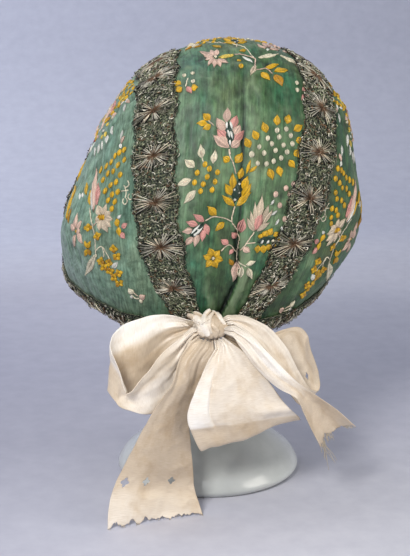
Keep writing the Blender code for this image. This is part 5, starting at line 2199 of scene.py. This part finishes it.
def ribbon_material():
    """Ivory silk: painted lighter or darker by its tone, as painted light and shade, with fine weft ribs and
    old stains.
    """
    made, tree, shader = new_material("ivory_ribbon", 0.36)
    cloth = uv_of(tree, "cloth")
    tone = node(tree, "ShaderNodeAttribute", attribute_name="tone").outputs["Fac"]
    # The tone attribute paints light and shade on the ribbon.
    base = ramp(tree, tone, [
        (0.0, srgb(190, 174, 154)), (0.5, srgb(224, 209, 188)), (1.0, srgb(255, 252, 247))
    ])
    stains = noise_node(tree, stretched(tree, cloth, (34, 26, 1)), 1.0, 5, 0.65)
    old = ramp(tree, stains, [(0.32, srgb(226, 212, 190)), (0.5, srgb(250, 246, 240)), (0.7, (1, 1, 1, 1))])
    base = mix_colour(tree, 0.8, base, old, "MULTIPLY")
    weft = noise_node(tree, stretched(tree, cloth, (140, 3000, 1)), 1.0, 2, 0.5)
    ribs = ramp(tree, weft, [(0.35, srgb(228, 224, 216)), (0.65, (1, 1, 1, 1))])
    tree.links.new(mix_colour(tree, 0.6, base, ribs, "MULTIPLY"), shader.inputs["Base Color"])
    bump(tree, weft, shader, 0.25, 0.0003)
    shader.inputs["Sheen Weight"].default_value = 0.2
    shader.inputs["Anisotropic"].default_value = 0.4
    return made


# Stage and light

FLOOR_HALF = 2600.0
SWEEP_START = 900.0
SWEEP_RADIUS = 900.0
SWEEP_TOP = 2600.0


def make_stage():
    """A floor that curves up into a backdrop, square to the camera's yaw."""
    profile = [(-1800.0, 0.0), (SWEEP_START, 0.0)]
    for step in range(1, 17):
        angle = math.pi / 2 * step / 16
        profile.append((
            SWEEP_START + SWEEP_RADIUS * math.sin(angle), SWEEP_RADIUS * (1 - math.cos(angle))
        ))
    profile.append((SWEEP_START + SWEEP_RADIUS, SWEEP_TOP))
    away = np.array([math.sin(CAMERA_YAW), math.cos(CAMERA_YAW), 0.0])
    across = np.array([math.cos(CAMERA_YAW), -math.sin(CAMERA_YAW), 0.0])
    vertices = []
    for depth, height in profile:
        for side in (-FLOOR_HALF, FLOOR_HALF):
            vertices.append(away * depth + across * side + np.array([0, 0, height]))
    faces = [(2 * i, 2 * i + 1, 2 * i + 3, 2 * i + 2) for i in range(len(profile) - 1)]
    floor = quad_mesh("floor", vertices, faces, floor_material())


def area_light(name, place, target, size, watts, colour=(1, 1, 1)):
    data = bpy.data.lights.new(name, "AREA")
    data.shape = "RECTANGLE"
    data.size = size[0] * MM
    data.size_y = size[1] * MM
    data.energy = watts
    data.color = colour
    lamp = linked(name, data)
    lamp.location = Vector(place) * MM
    lamp.rotation_mode = "QUATERNION"
    lamp.rotation_quaternion = (Vector(target) - Vector(place)).to_track_quat("-Z", "Y")


def make_light():
    world = bpy.data.worlds.new("studio")
    world.use_nodes = True
    background = world.node_tree.nodes["Background"]
    background.inputs["Color"].default_value = srgb(200, 205, 222)
    background.inputs["Strength"].default_value = 0.42
    scene.world = world
    area_light("key", (-650, -1250, 1150), (0, 0, 170), (420, 420), 23, (1.0, 0.985, 0.96))
    area_light("fill", (1300, -900, 500), (0, 0, 150), (900, 900), 10, (1.0, 0.96, 0.88))
    area_light("top", (-300, 300, 1500), (0, 0, 200), (900, 700), 5, (0.93, 0.96, 1.0))
    area_light("backdrop", (-900, 500, 1200), (-500, 1700, 700), (900, 500), 12, (0.9, 0.93, 1.0))


make_camera()
scene.view_settings.view_transform = "Standard"
make_stage()
make_light()
cap_panels()
silk_thread = thread_material("silk_thread", 0.0, 0.42)
metal_thread = thread_material("metal_thread", 0.3, 0.36)
embroidery_centre(silk_thread)
embroidery_side("left", -1, silk_thread)
embroidery_side("right", 1, silk_thread)
lace_net = net_material()
band_lace(-1, "left", lace_net, metal_thread)
band_lace(1, "right", lace_net, metal_thread)
edging_lace(lace_net, metal_thread)
ivory = ribbon_material()
loose_ends = bow(ivory)
knot(ivory)
frays(loose_ends, silk_thread)
stand(stand_material())
